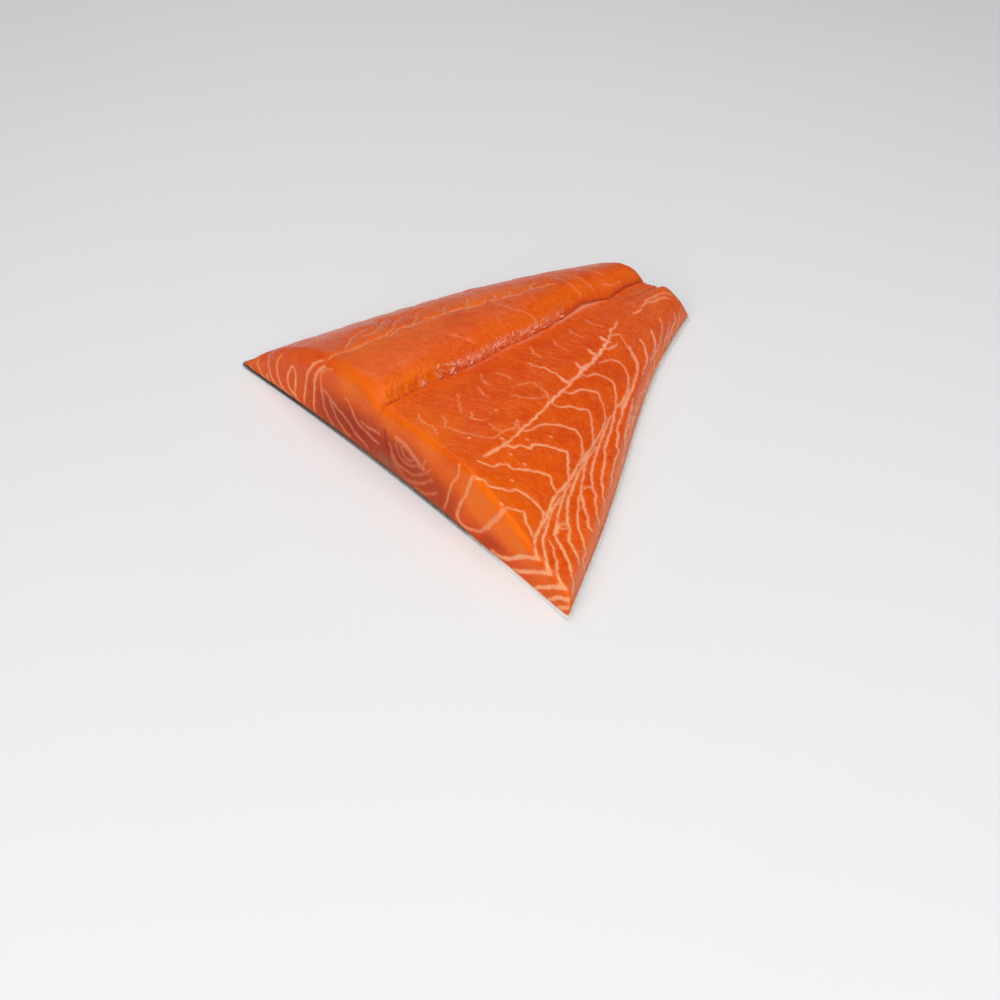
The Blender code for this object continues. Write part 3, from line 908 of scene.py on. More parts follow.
@dataclass
class FleshTones:
    """Masks, from 0 to 1, of painted glow, painted shade, darker low cut, pink with painted sheen, grey and
    torn flesh.

    Sizes for the cut are places across (x) or heights (z), and those for the top are places along (y).
    """

    shape: FilletShape
    grid: FleshGrid
    groove: SeamGroove
    # Reach of the painted glow beside the cut's top edge and up the cut.
    painted_glow_depth: float = 13.0
    painted_glow_across: Span = Span((-42.0, -25.0), (70.0, 90.0))
    painted_glow_height: Pair = (10.0, 23.0)
    painted_glow_start: Pair = (-38.0, -24.0)
    rim_share: Pair = (0.955, 0.99)
    tail_painted_shade: Pair = (92.0, 108.0)
    # Painted shade in the middle of the cut's muscles.
    shades: tuple[Patch, ...] = (
        Patch(-19.0, 9.0, 22.0, 7.5),
        Patch(14.0, 11.0, 13.0, 6.0, 0.8),
        Patch(62.0, 3.5, 9.0, 4.0, 0.7),
    )
    bone_grey: Patch = Patch(2.0, 3.0, 7.0, 3.4)
    # Heights of the painted grey reflection of the table along the cut's foot.
    reflection_height: Pair = (1.5, 3.3)
    # Spread and height of the darker red low on the cut.
    lower_cut_dark_across: Span = Span((-58.0, -30.0), (36.0, 50.0))
    lower_cut_dark_height: float = 20.0
    fine_seam: Span = Span((38.0, 50.0), (96.0, 104.0))
    pale_ridge: Span = Span((90.0, 98.0), (118.0, 126.0))
    # Painted sheen over the loin, and pink with painted sheen over the tail.
    loin_sheen: float = 0.42
    tail_pink_and_sheen: float = 0.6

    def __post_init__(self) -> None:
        """Work out what several masks use."""
        self.x, self.y, self.z = self.grid.points.T
        self.on_top, self.on_cut = self.grid.on_top(), self.grid.on_cut()
        self.off = self.x - self.groove.centre(self.y)
        self.torn = self.groove.torn(self.y)
        self.share = self.shape.side_share(self.x, self.grid.station)
        self.tone = Noise(21)
        self.patchy = 0.5 + 0.5 * self.tone.layered(self.grid.points, 12.0)

    def painted_glow(self) -> Array:
        """Painted glow, partly the flesh's own yellow-orange: beside the cut's top edge, at its patches, on
        the lit rim and flank, as highlights on the crease, and in the tear.
        """
        x, y, z = self.x, self.y, self.z
        from_cut = y - self.shape.along(x, z, np.zeros_like(x))
        # Painted glow of light through the cut's top edge, on the top and on the cut.
        top = self.on_top * np.exp(-from_cut / self.painted_glow_depth) * self.painted_glow_across.at(x)
        leaning = z + 0.13 * np.abs(x - 30.0) * (x > 30.0) + 2.5 * (x > 46.0)
        cut = self.on_cut * smooth(*self.painted_glow_height, leaning) * smooth(*self.painted_glow_start, x)
        # Yellow-orange patches on the cut near the belly and the flap's tip: their own colour with painted
        # glow of light through the thin flesh.
        belly = self.on_cut * bell(x, 54.5, 7.0) * smooth(5.0, 15.0, z)
        tip = self.on_cut * bell(x, 73.0, 8.0) * smooth(4.0, 12.0, z)
        # In the tear the glow is the torn flesh's own brighter orange.
        tear = self.on_top * 0.8 * self.torn * bell(self.off, -2.5, 3.5)
        # Painted highlights on the lips of the crease.
        crease = self.on_top * 0.8 * bell(x + 37.5 - 0.13 * y, 0.0, 5.0)
        crease *= clamp(2.2 * self.patchy - 0.5) * (1.0 - smooth(95.0, 115.0, y))
        # Painted light on the lit belly rim.
        rim = self.on_top * 0.6 * smooth(*self.rim_share, self.share) * (x > 0.0)
        # Painted light on the loin's flank that slopes down to the seam.
        flank = self.on_top * 0.5 * bell(self.off, -4.5, 3.5) * smooth(45.0, 70.0, y)
        blotch = clamp(0.25 + 0.9 * self.patchy)
        return clamp((top + cut) * blotch + belly + tip + tear + crease + rim + flank)

    def painted_shade(self) -> Array:
        """Painted shade: in the seam groove and under its lip, in the middle of the cut's muscles and in
        the crack under the seam.
        """
        x, y, z = self.x, self.y, self.z
        # Painted shade that deepens with the fine groove, and a painted shadow line under the torn seam's
        # lip.
        fine = 0.6 * clamp(self.groove.depth(x, y) / 0.75) ** 3
        seam = self.on_top * mix(fine, 0.75 * bell(self.off, 0.5, 0.9), self.torn)
        # Painted shade in the groove towards the tail.
        seam += self.on_top * 0.3 * smooth(*self.tail_painted_shade, y) * bell(self.off, -0.2, 0.8)
        # Painted shade in the crack under the seam on the cut.
        crack = 0.9 * bell(x - 2.4 + 0.32 * (z - 10.0), 0.0, 0.8) * (1.0 - smooth(15.0, 19.0, z))
        return clamp(seam + self.on_cut * (sum(patch.on(x, z) for patch in self.shades) + crack))

    def lower_cut_dark(self) -> Array:
        """Darker red flesh towards the bottom of the cut."""
        low = smooth(0.0, 1.0, (self.lower_cut_dark_height - self.z) / 12.0)
        return self.on_cut * low * self.lower_cut_dark_across.at(self.x)

    def grey(self) -> Array:
        """Grey flesh at the foot of the seam on the cut."""
        return clamp(self.on_cut * self.bone_grey.on(self.x, self.z))

    def foot(self) -> Array:
        """Painted grey reflection of the table: a grey line just above the skin on the cut."""
        ragged = self.z - 0.35 * self.tone.at(self.grid.points, 3.0)
        foot = self.on_cut * (1.0 - smooth(*self.reflection_height, ragged))
        towards_belly = mix(1.0, 0.05, smooth(36.0, 52.0, self.x))
        return foot * towards_belly * mix(0.6, 1.0, smooth(-70.0, -50.0, self.x))

    def membrane_and_sheen(self) -> Array:
        """Paler pink on the loin, the tail and the edges: painted sheen, with pink membrane at the edges.
        """
        # Pink membrane with painted sheen along the back's edge and the belly rim.
        back_edge, belly_edge = smooth(0.62, 0.98, self.share), 0.9 * smooth(0.93, 0.99, self.share)
        membrane_and_sheen = np.where(self.x < 0.0, back_edge, belly_edge)
        membrane_and_sheen = np.maximum(membrane_and_sheen, self.loin_sheen * smooth(-4.0, -14.0, self.x))
        membrane_and_sheen = np.maximum(membrane_and_sheen, self.tail_pink_and_sheen * smooth(90.0, 145.0, self.y))
        membrane_and_sheen = self.on_top * clamp(membrane_and_sheen * (0.5 + 0.8 * self.patchy))
        return membrane_and_sheen * (1.0 - 0.9 * bell(self.off, -6.0, 7.0) * smooth(80.0, 95.0, self.y))

    def banks(self) -> Array:
        """Pale edges of the fine seam, broken here and there, and the ridge nearer the tail."""
        broken = 0.35 + 0.65 * clamp(0.5 + self.tone.layered(self.grid.points + 40.0, 5.0))
        banks = 0.75 * bell(self.off, -2.0, 1.3) + 0.55 * bell(self.off, 1.5, 0.8)
        ridge = self.pale_ridge.at(self.y) * bell(self.off, 1.2, 0.9)
        return self.on_top * clamp(self.fine_seam.at(self.y) * broken * banks + ridge)

    def fields(self) -> dict[str, Array]:
        """The masks as named vectors, and the direction of the grain, as the finish reads them."""
        x, y, z = self.x, self.y, self.z
        tufts = self.on_top * self.groove.tufts(x, y)
        columns = {
            "grain": (x + 0.35 * y, y - 0.35 * x, z + 0.8 * y * self.on_cut),
            # zones: the painted glow, the painted shade and the darker low cut.
            "zones": (self.painted_glow(), self.painted_shade(), self.lower_cut_dark()),
            # trims: the grey at the seam's foot, the painted grey reflection along the cut's foot, and the
            # cut.
            "trims": (self.grey(), self.foot(), self.on_cut),
            # casts: the pink with painted sheen, the pale seam banks, and the share towards the tail.
            "casts": (self.membrane_and_sheen(), self.banks(), smooth(15.0, 75.0, y)),
            "tears": (tufts, self.on_top, self.torn),
        }
        return {name: np.stack(parts, axis=1) for name, parts in columns.items()}


def seal(data: bpy.types.Mesh) -> None:
    """Fill what is open in a mesh and turn its faces outwards."""
    shell = bmesh.new()
    shell.from_mesh(data)
    rim = [edge for edge in shell.edges if edge.is_boundary]
    if rim:
        bmesh.ops.triangle_fill(shell, use_beauty=True, edges=rim)
    bmesh.ops.recalc_face_normals(shell, faces=shell.faces)
    shell.to_mesh(data)
    shell.free()


def store(data: bpy.types.Mesh, name: str, values: Array) -> None:
    """Keep a number or a vector for each point of the mesh, under a name."""
    kind, slot = ("FLOAT_VECTOR", "vector") if values.ndim == 2 else ("FLOAT", "value")
    data.attributes.new(name, kind, "POINT").data.foreach_set(slot, values.astype(np.float32).ravel())


def add_piece(name: str, data: bpy.types.Mesh, material: bpy.types.Material) -> bpy.types.Object:
    """Put a finished mesh into the scene.

    Args:
        name: The piece's name.
        data: Its mesh, which gets smooth shading.
        material: Its material.

    Returns:
        The piece.
    """
    data.shade_smooth()
    data.materials.append(material)
    piece = bpy.data.objects.new(name, data)
    bpy.context.scene.collection.objects.link(piece)
    return piece


@dataclass
class Flesh:
    """The flesh: a fine closed surface with fat lines, torn seam, creases and grain."""

    shape: FilletShape
    relief: FleshRelief = FleshRelief()
    cut_rows: int = 44
    round_rows: int = 7
    top_rows: int = 226
    tail_rows: int = 12
    back_columns: int = 125
    belly_columns: int = 180

    def _shares(self) -> Array:
        """Column positions from -1 at the back's edge to 1 at the belly edge."""
        back = np.linspace(1.0, 0.0, self.back_columns, endpoint=False)
        belly = np.linspace(0.0, 1.0, self.belly_columns + 1)
        return np.concatenate([-back, 1.0 - (1.0 - belly) ** 1.1])

    def _cut_part(self, share: Array) -> list[Row]:
        """Rows up the cut and over its rounded top edge."""
        shape, zero = self.shape, np.zeros_like(share)
        x = share * shape.half_width(share, zero)
        top, floor, reach = shape.top(x, zero), shape.floor(x, zero), shape.cut_radius(x)
        rows = []
        for t in np.linspace(0.0, 1.0, self.cut_rows, endpoint=False):
            z = mix(floor, top - reach, t)
            rows.append((x, shape.along(x, z, zero), z, zero, Zone.CUT))
        for turn in np.linspace(0.5 * math.pi, 0.0, self.round_rows, endpoint=False):
            z = top - reach * (1.0 - math.cos(turn))
            y = shape.along(x, z, zero) + reach * (1.0 - math.sin(turn))
            rows.append((x, y, z, zero, Zone.CUT_EDGE))
        return rows

    def _top_part(self, share: Array) -> list[Row]:
        """Rows over the top, from the one rounded edge to the other."""
        shape, zero, one = self.shape, np.zeros_like(share), np.ones_like(share)
        start = shape.cut_radius(share * shape.half_width(share, zero)) / shape.length
        end = 1.0 - shape.tail_radius(share * shape.half_width(share, one)) / shape.length
        rows = []
        for t in np.linspace(0.0, 1.0, self.top_rows):
            s = mix(start, end, t**1.2)
            x = share * shape.half_width(share, s)
            z = shape.top(x, s)
            rows.append((x, shape.along(x, z, s), z, s, Zone.TOP))
        return rows

    def _tail_part(self, share: Array) -> list[Row]:
        """Rows over the tail's rounded top edge and down its end."""
        shape, one = self.shape, np.ones_like(share)
        x = share * shape.half_width(share, one)
        top, floor, reach = shape.top(x, one), shape.floor(x, one), shape.tail_radius(x)
        rows = []
        for turn in np.linspace(0.0, 0.5 * math.pi, self.round_rows + 1)[1:]:
            z = top - reach * (1.0 - math.cos(turn))
            y = shape.along(x, z, one) - reach * (1.0 - math.sin(turn))
            rows.append((x, y, z, one, Zone.TAIL_EDGE))
        for t in np.linspace(0.0, 1.0, self.tail_rows + 1)[1:]:
            z = mix(top - reach, floor, t)
            rows.append((x, shape.along(x, z, one), z, one, Zone.TAIL))
        return rows

    def build(self, finish: "FleshFinish", marbling: Marbling) -> bpy.types.Object:
        """Make the flesh and dress it.

        Args:
            finish: The wet orange flesh.
            marbling: The fat lines.

        Returns:
            The flesh's object.
        """
        share = self._shares()
        grid = FleshGrid.of([*self._cut_part(share), *self._top_part(share), *self._tail_part(share)])
        faces = grid.faces().tolist()
        surface = BVHTree.FromPolygons(grid.points.tolist(), faces)
        near = FatMap(self.shape, marbling.all(), surface).relate(grid.points)
        groove = SeamGroove()
        height = self.relief.height(self.shape, grid, near, groove)
        points = grid.points + grid.normals() * height[:, None]
        data = bpy.data.meshes.new("salmon_flesh")
        data.from_pydata(self.shape.place(points).tolist(), [], faces)
        seal(data)
        store(data, "fat_offset", near.offset)
        store(data, "fat_facts", np.stack([near.distance, near.width, near.paleness], axis=1))
        for name, values in FleshTones(self.shape, grid, groove).fields().items():
            store(data, name, values)
        return add_piece("salmon_flesh", data, finish.build())


@dataclass
class Skin:
    """The skin: a thin wet sheet that shows as a dark or silver line under the flesh.

    The overhang is given for the back and for the belly.
    """

    shape: FilletShape
    stations: int = 150
    columns: int = 60
    edge_wobble: float = 0.2
    overhang: Pair = (0.25, 1.0)
    rim_start: float = 0.975
    rim_lift: float = 0.5
    ragged_start: float = 0.9
    wobble_size: float = 5.0
    crisp_angle: float = 40.0

    def _underside(self, s: float, wobble: Noise) -> Array:
        """Row of points across the skin's underside at one station."""
        share = np.sin(np.linspace(-0.5, 0.5, 2 * self.columns + 1) * math.pi)
        side = np.full_like(share, s)
        x = share * (self.shape.half_width(share, side) + mix(*self.overhang, smooth(0.0, 0.3, share)))
        push = self.overhang[0] * (float(s == 1.0) - float(s == 0.0))
        y = self.shape.along(x, np.zeros_like(x), side) + push
        lift = self.rim_lift * smooth(self.rim_start, 1.0, x / x.max()) * (1.0 - 0.5 * s)
        row = np.stack([x, y, self.shape.curl(x, side) + lift], axis=1)
        fade = smooth(self.ragged_start, 1.0, np.abs(x) / np.abs(x).max())
        uneven = 0.5 + 0.5 * wobble.layered(row, self.wobble_size)
        row[:, 0] -= np.sign(x) * fade * self.edge_wobble * uneven
        return row

    def _faces(self, rows: int, columns: int) -> Array:
        """Quads all round the sheet: over the top, back along the underside, and up its two edges."""
        index = np.arange(rows * columns).reshape(rows, columns)
        ring = np.concatenate([index, index[:1]])
        quads = np.stack([ring[:-1, :-1], ring[:-1, 1:], ring[1:, 1:], ring[1:, :-1]], axis=-1)
        upper, lower = index[: self.stations], index[::-1][: self.stations]
        edges = [
            np.stack([upper[:-1, side], upper[1:, side], lower[1:, side], lower[:-1, side]], axis=1)
            for side in (0, -1)
        ]
        return np.concatenate([quads.reshape(-1, 4), *edges])

    def build(self, finish: "SkinFinish") -> bpy.types.Object:
        """Make the skin and dress it.

        Args:
            finish: The wet fish skin.

        Returns:
            The skin's object.
        """
        wobble = Noise(31)
        under = [self._underside(s, wobble) for s in np.linspace(0.0, 1.0, self.stations)]
        top = [row + (0.0, 0.0, self.shape.skin_thickness) for row in under]
        grid = np.array(top + under[::-1])
        points = grid.reshape(-1, 3)
        data = bpy.data.meshes.new("salmon_skin")
        data.from_pydata(self.shape.place(points).tolist(), [], self._faces(*grid.shape[:2]).tolist())
        seal(data)
        x, y = points[:, 0], points[:, 1]
        store(data, "flank", x / self.shape.half_width(x, clamp(y / self.shape.length)))
        piece = add_piece("salmon_skin", data, finish.build())
        data.set_sharp_from_angle(angle=math.radians(self.crisp_angle))
        return piece


@dataclass
class SeamFlakes:
    """Small pale flakes of torn muscle that lie in tufts along the seam.

    A tuft is its place along the seam and its number of flakes.
    """

    shape: FilletShape
    groove: SeamGroove = field(default_factory=SeamGroove)
    tufts: tuple[tuple[float, int], ...] = (
        (25.6, 4),
        (34.6, 8),
        (38.8, 9),
        (43.0, 9),
        (47.5, 7),
        (54.0, 3),
        (60.0, 3),
        (65.6, 7),
        (70.3, 7),
        (76.0, 3),
        (81.5, 6),
        (90.0, 5),
        (98.0, 4),
    )
    tuft_reach: float = 0.9
    seam_offset: float = -0.7
    seam_reach: Pair = (0.35, 0.8)
    heading: Pair = (175.0, 40.0)
    lift: Pair = (0.0, 0.3)
    length: Pair = (1.2, 3.0)
    half_width: Pair = (0.35, 0.8)
    flatness: float = 0.35
    rings: int = 7
    sides: int = 8
    seed: int = 7

    def _flake(self, foot: Array, heading: Array, length: float, width: float, bend: Array) -> Array:
        """Rings of corners of one flat flake that swells in the middle and ends in a ragged point.

        Args:
            foot: Where it grows from.
            heading: Unit direction in which it lies.
            length: How long it is.
            width: Half width at its widest.
            bend: How far it curves sideways and upwards.

        Returns:
            Corners, as an array of rings.
        """
        side = np.cross(heading, (0.0, 0.0, 1.0))
        side /= np.linalg.norm(side) + TINY
        lift = np.cross(side, heading)
        turns = np.linspace(0.0, 2.0 * math.pi, self.sides, endpoint=False)
        made = []
        for t in np.linspace(0.0, 1.0, self.rings):
            middle = foot + heading * length * t + (side * bend[0] + lift * bend[1]) * length * t * t
            ragged = 1.0 + 0.3 * math.sin(9.0 * t + bend[0] * 20.0)
            swell = width * (math.sin(math.pi * (0.12 + 0.85 * t)) ** 0.8) * ragged
            low = lift * self.flatness
            made.append([middle + swell * (side * math.cos(a) + low * math.sin(a)) for a in turns])
        return np.array(made)

    def _grow(self, ground: BVHTree, rng: np.random.Generator, middle: float) -> tuple[Array, float]:
        """One flake at a random place in a tuft, lying on the flesh.

        Args:
            ground: The finished flesh, in metres.
            rng: Source of the random draws.
            middle: Place of the tuft along the seam.

        Returns:
            The flake's rings of corners and its tone from 0 to 1.
        """
        seat = np.array(self.shape.seat())
        y = np.array([rng.normal(middle, self.tuft_reach)])
        reach = mix(*self.seam_reach, float(self.groove.torn(y)[0]))
        x = self.groove.centre(y) + rng.normal(self.seam_offset, reach)
        above = Vector((x[0] * METRE + seat[0], y[0] * METRE + seat[1], 0.1))
        hit, slope, _, _ = ground.ray_cast(above, Vector((0.0, 0.0, -1.0)))
        normal = np.array(slope)
        angle = math.radians(rng.normal(*self.heading))
        heading = np.array([math.cos(angle), math.sin(angle), 0.0])
        heading -= normal * (heading @ normal - rng.uniform(*self.lift))
        heading /= np.linalg.norm(heading)
        foot = (np.array(hit) - seat) / METRE + 0.05 * normal
        length, width = rng.uniform(*self.length), rng.uniform(*self.half_width)
        return self._flake(foot, heading, length, width, rng.normal(0.0, 0.25, 2)), rng.random()

    def _faces(self, base: int) -> list[tuple[int, ...]]:
        """Faces of one closed flake whose corners start at the given number."""
        faces = []
        for level in range(base, base + (self.rings - 1) * self.sides, self.sides):
            for i in range(self.sides):
                a, b = level + i, level + (i + 1) % self.sides
                faces.append((a, b, b + self.sides, a + self.sides))
        last = base + (self.rings - 1) * self.sides
        faces.append(tuple(base + i for i in reversed(range(self.sides))))
        faces.append(tuple(last + i for i in range(self.sides)))
        return faces

    def build(self, flesh: bpy.types.Object, finish: "FlakeFinish") -> bpy.types.Object:
        """Make all the flakes as one piece and dress it.

        Args:
            flesh: The finished flesh that they lie on.
            finish: The pale torn muscle.

        Returns:
            The flakes' object.
        """
        rng = np.random.default_rng(self.seed)
        corners = [corner.co for corner in flesh.data.vertices]
        ground = BVHTree.FromPolygons(corners, [tuple(face.vertices) for face in flesh.data.polygons])
        middles = [middle for middle, count in self.tufts for _ in range(count)]
        flakes, tones = zip(*(self._grow(ground, rng, middle) for middle in middles))
        size = self.rings * self.sides
        faces = [face for number in range(len(flakes)) for face in self._faces(number * size)]
        points = self.shape.place(np.concatenate(flakes).reshape(-1, 3))
        data = bpy.data.meshes.new("seam_flakes")
        data.from_pydata(points.tolist(), [], faces)
        store(data, "tone", np.repeat(tones, size))
        return add_piece("seam_flakes", data, finish.build())


class NodeSheet:
    """Small helper that adds and joins nodes in one node tree."""

    def __init__(self, tree: bpy.types.NodeTree) -> None:
        """Work on a node tree.

        Args:
            tree: The tree to fill.
        """
        self.tree = tree

    def add(self, kind: str, **settings: str | bpy.types.NodeTree) -> bpy.types.Node:
        """Add a node and set its options.

        Args:
            kind: Blender's node type.
            settings: Option names and their values.

        Returns:
            The new node.
        """
        node = self.tree.nodes.new(kind)
        for name, value in settings.items():
            setattr(node, name, value)
        return node

    def feed(self, socket: Socket, value: Feed) -> None:
        """Link a socket to another socket, or set its plain value."""
        if isinstance(value, Socket):
            self.tree.links.new(value, socket)
        else:
            socket.default_value = value

    def math(self, operation: str, *values: Feed) -> Socket:
        """Result of a maths node."""
        node = self.add("ShaderNodeMath", operation=operation)
        for socket, value in zip(node.inputs, values):
            self.feed(socket, value)
        return node.outputs[0]

    def stretch(self, vector: Socket, amounts: tuple[float, float, float]) -> Socket:
        """Vector with each of its numbers multiplied."""
        node = self.add("ShaderNodeVectorMath", operation="MULTIPLY")
        self.feed(node.inputs[0], vector)
        self.feed(node.inputs[1], amounts)
        return node.outputs["Vector"]

    def length(self, vector: Socket) -> Socket:
        """Length of a vector."""
        node = self.add("ShaderNodeVectorMath", operation="LENGTH")
        self.feed(node.inputs[0], vector)
        return node.outputs["Value"]

    def ramp(self, value: Socket, start: Feed, end: Feed, low: float = 0.0, high: float = 1.0) -> Socket:
        """Value that moves smoothly from low to high as the input goes from start to end."""
        node = self.add("ShaderNodeMapRange", interpolation_type="SMOOTHSTEP")
        names = ("Value", "From Min", "From Max", "To Min", "To Max")
        for name, given in zip(names, (value, start, end, low, high)):
            self.feed(node.inputs[name], given)
        return node.outputs["Result"]

    def fade(self, value: Socket, start: Feed, end: Feed) -> Socket:
        """Value that moves smoothly from 1 to 0 as the input goes from start to end."""
        return self.ramp(value, start, end, 1.0, 0.0)

    def blend(self, amount: Feed, first: Feed, second: Feed) -> Socket:
        """Colour between two colours."""
        node = self.add("ShaderNodeMix", data_type="RGBA")
        self.feed(node.inputs["Factor"], amount)
        colors = [socket for socket in node.inputs if socket.type == "RGBA"]
        self.feed(colors[0], first)
        self.feed(colors[1], second)
        return next(socket for socket in node.outputs if socket.type == "RGBA")

    def noise(self, vector: Socket, scale: float, detail: float = 2.0, roughness: float = 0.5) -> Socket:
        """Value of a noise texture."""
        node = self.add("ShaderNodeTexNoise")
        self.feed(node.inputs["Vector"], vector)
        for name, given in (("Scale", scale), ("Detail", detail), ("Roughness", roughness)):
            self.feed(node.inputs[name], given)
        return node.outputs["Fac"]

    def place(self) -> Socket:
        """Place on the piece, in metres."""
        return self.add("ShaderNodeTexCoord").outputs["Object"]

    def stored(self, name: str) -> bpy.types.Node:
        """Values stored on the mesh: a vector in the Vector socket, or a number in the Fac socket."""
        return self.add("ShaderNodeAttribute", attribute_name=name)

    def parts(self, name: str) -> tuple[Socket, ...]:
        """The three numbers of a vector stored on the mesh."""
        return self.split(self.stored(name).outputs["Vector"])

    def split(self, vector: Socket) -> tuple[Socket, ...]:
        """The three numbers of a vector."""
        node = self.add("ShaderNodeSeparateXYZ")
        self.feed(node.inputs[0], vector)
        return tuple(node.outputs)

    def bump(self, height: Socket, strength: float, distance: float) -> Socket:
        """Normal that a height tilts; the distance is the depth of a full step in metres."""
        node = self.add("ShaderNodeBump")
        for name, given in (("Strength", strength), ("Distance", distance), ("Height", height)):
            self.feed(node.inputs[name], given)
        return node.outputs["Normal"]

    def group(self, tree: bpy.types.NodeTree, **values: Feed) -> dict[str, Socket]:
        """Place a node group, feed its inputs and give its outputs by name."""
        node = self.add("ShaderNodeGroup", node_tree=tree)
        for name, value in values.items():
            self.feed(node.inputs[name], value)
        return dict(node.outputs.items())


def new_material(
    name: str, plain: dict[str, Feed]
) -> tuple[bpy.types.Material, NodeSheet, dict[str, Socket]]:
    """Start a material.

    Args:
        name: Its name.
        plain: Sockets of its shader that are the same all over, and their values.

    Returns:
        The material, the sheet of its nodes and its shader's inputs by name.
    """
    material = bpy.data.materials.new(name)
    material.use_nodes = True
    inputs = dict(material.node_tree.nodes["Principled BSDF"].inputs.items())
    for socket, value in plain.items():
        inputs[socket].default_value = value
    return material, NodeSheet(material.node_tree), inputs


def new_group(
    name: str, inputs: dict[str, str], outputs: tuple[str, ...]
) -> tuple[NodeSheet, dict[str, Socket], dict[str, Socket]]:
    """Empty shader node group with named sockets.

    Args:
        name: The group's name.
        inputs: Input names and their kinds, Float or Vector.
        outputs: Names of the outputs, which are all numbers.

    Returns:
        The sheet to fill, the group's inputs to read and its outputs to feed, both by name.
    """
    tree = bpy.data.node_groups.new(name, "ShaderNodeTree")
    for label, kind in inputs.items():
        tree.interface.new_socket(label, in_out="INPUT", socket_type=f"NodeSocket{kind}")
    for label in outputs:
        tree.interface.new_socket(label, in_out="OUTPUT", socket_type="NodeSocketFloat")
    sheet = NodeSheet(tree)
    given, made = sheet.add("NodeGroupInput"), sheet.add("NodeGroupOutput")
    return sheet, dict(given.outputs.items()), dict(made.inputs.items())


def fat_line_group() -> bpy.types.NodeTree:
    """Group that draws fat lines with slightly uneven edges from the offset to the nearest one.

    Returns:
        Group with the inputs Offset, Facts, Place and Softness and the outputs Mask, Halo and Fringe.
    """
    inputs = {"Offset": "Vector", "Facts": "Vector", "Place": "Vector", "Softness": "Float"}
    sheet, given, made = new_group("fat_lines", inputs, ("Mask", "Halo", "Fringe"))
    distance, width, paleness = sheet.split(given["Facts"])
    length = sheet.length(given["Offset"])
    ragged = sheet.noise(given["Place"], 1100.0, 1.0)
    broad = sheet.noise(given["Place"], 260.0, 1.0)
    bite = sheet.math("MULTIPLY_ADD", width, 0.32, 0.05)
    measured = sheet.math("MULTIPLY_ADD", sheet.math("SUBTRACT", ragged, 0.5), bite, length)
    half = sheet.math("MULTIPLY", width, sheet.math("MULTIPLY_ADD", broad, 0.5, 0.22))
    inner = sheet.math("SUBTRACT", half, given["Softness"])
    outer = sheet.math("ADD", half, given["Softness"])
    # The offset can't be trusted where the flat distance is much larger than its length.
    doubt = sheet.math("SUBTRACT", distance, sheet.math("MULTIPLY_ADD", length, 1.2, 0.36))
    sure = sheet.fade(doubt, 0.0, 0.2)
    strength = sheet.math("MULTIPLY", paleness, sheet.ramp(broad, 0.25, 0.6, 0.7, 1.0))
    line = sheet.math("MULTIPLY", sheet.fade(measured, inner, outer), sure)
    fringe_end = sheet.math("MULTIPLY_ADD", width, 0.75, 0.7)
    fringe = sheet.math("MULTIPLY", sheet.fade(measured, 0.0, fringe_end), sure)
    halo = sheet.fade(distance, 0.0, sheet.math("MULTIPLY_ADD", width, 2.4, 0.6))
    for name, value in (("Mask", line), ("Fringe", fringe), ("Halo", halo)):
        sheet.feed(made[name], sheet.math("MULTIPLY", value, strength))
    return sheet.tree


def wet_grain_group() -> bpy.types.NodeTree:
    """Group of the fine streaks that muscle fibres and the knife leave in a wet surface.

    Returns:
        Group with the inputs Grain and Place and the outputs Height, Streak, Mottle and Thread.
    """
    inputs = {"Grain": "Vector", "Place": "Vector"}
    sheet, given, made = new_group("wet_grain", inputs, ("Height", "Streak", "Mottle", "Thread"))
    stretched = sheet.stretch(given["Grain"], (0.16, 1.0, 1.0))
    streak = sheet.noise(stretched, 0.9, 3.0, 0.6)
    fine = sheet.noise(stretched, 2.6, 2.0, 0.6)
    mottle = sheet.noise(given["Place"], 95.0, 3.0, 0.55)
    pores = sheet.noise(given["Place"], 900.0)
    curly = sheet.noise(sheet.stretch(given["Grain"], (0.45, 1.0, 1.0)), 0.42, 3.0, 0.65)
    ridge = sheet.math("ABSOLUTE", sheet.math("SUBTRACT", curly, 0.5))
    thread = sheet.math("MULTIPLY", sheet.fade(ridge, 0.0, 0.03), sheet.ramp(streak, 0.42, 0.6))
    height = sheet.math("MULTIPLY_ADD", streak, 0.5, sheet.math("MULTIPLY", pores, 0.6))
    sheet.feed(made["Height"], sheet.math("MULTIPLY_ADD", fine, 0.4, height))
    sheet.feed(made["Streak"], sheet.ramp(sheet.math("MULTIPLY_ADD", fine, 0.45, streak), 0.5, 0.95))
    sheet.feed(made["Mottle"], sheet.ramp(mottle, 0.32, 0.68))
    sheet.feed(made["Thread"], thread)
    return sheet.tree


def rgba(color: Color) -> tuple[float, float, float, float]:
    """Colour with full opacity."""
    return (*color, 1.0)


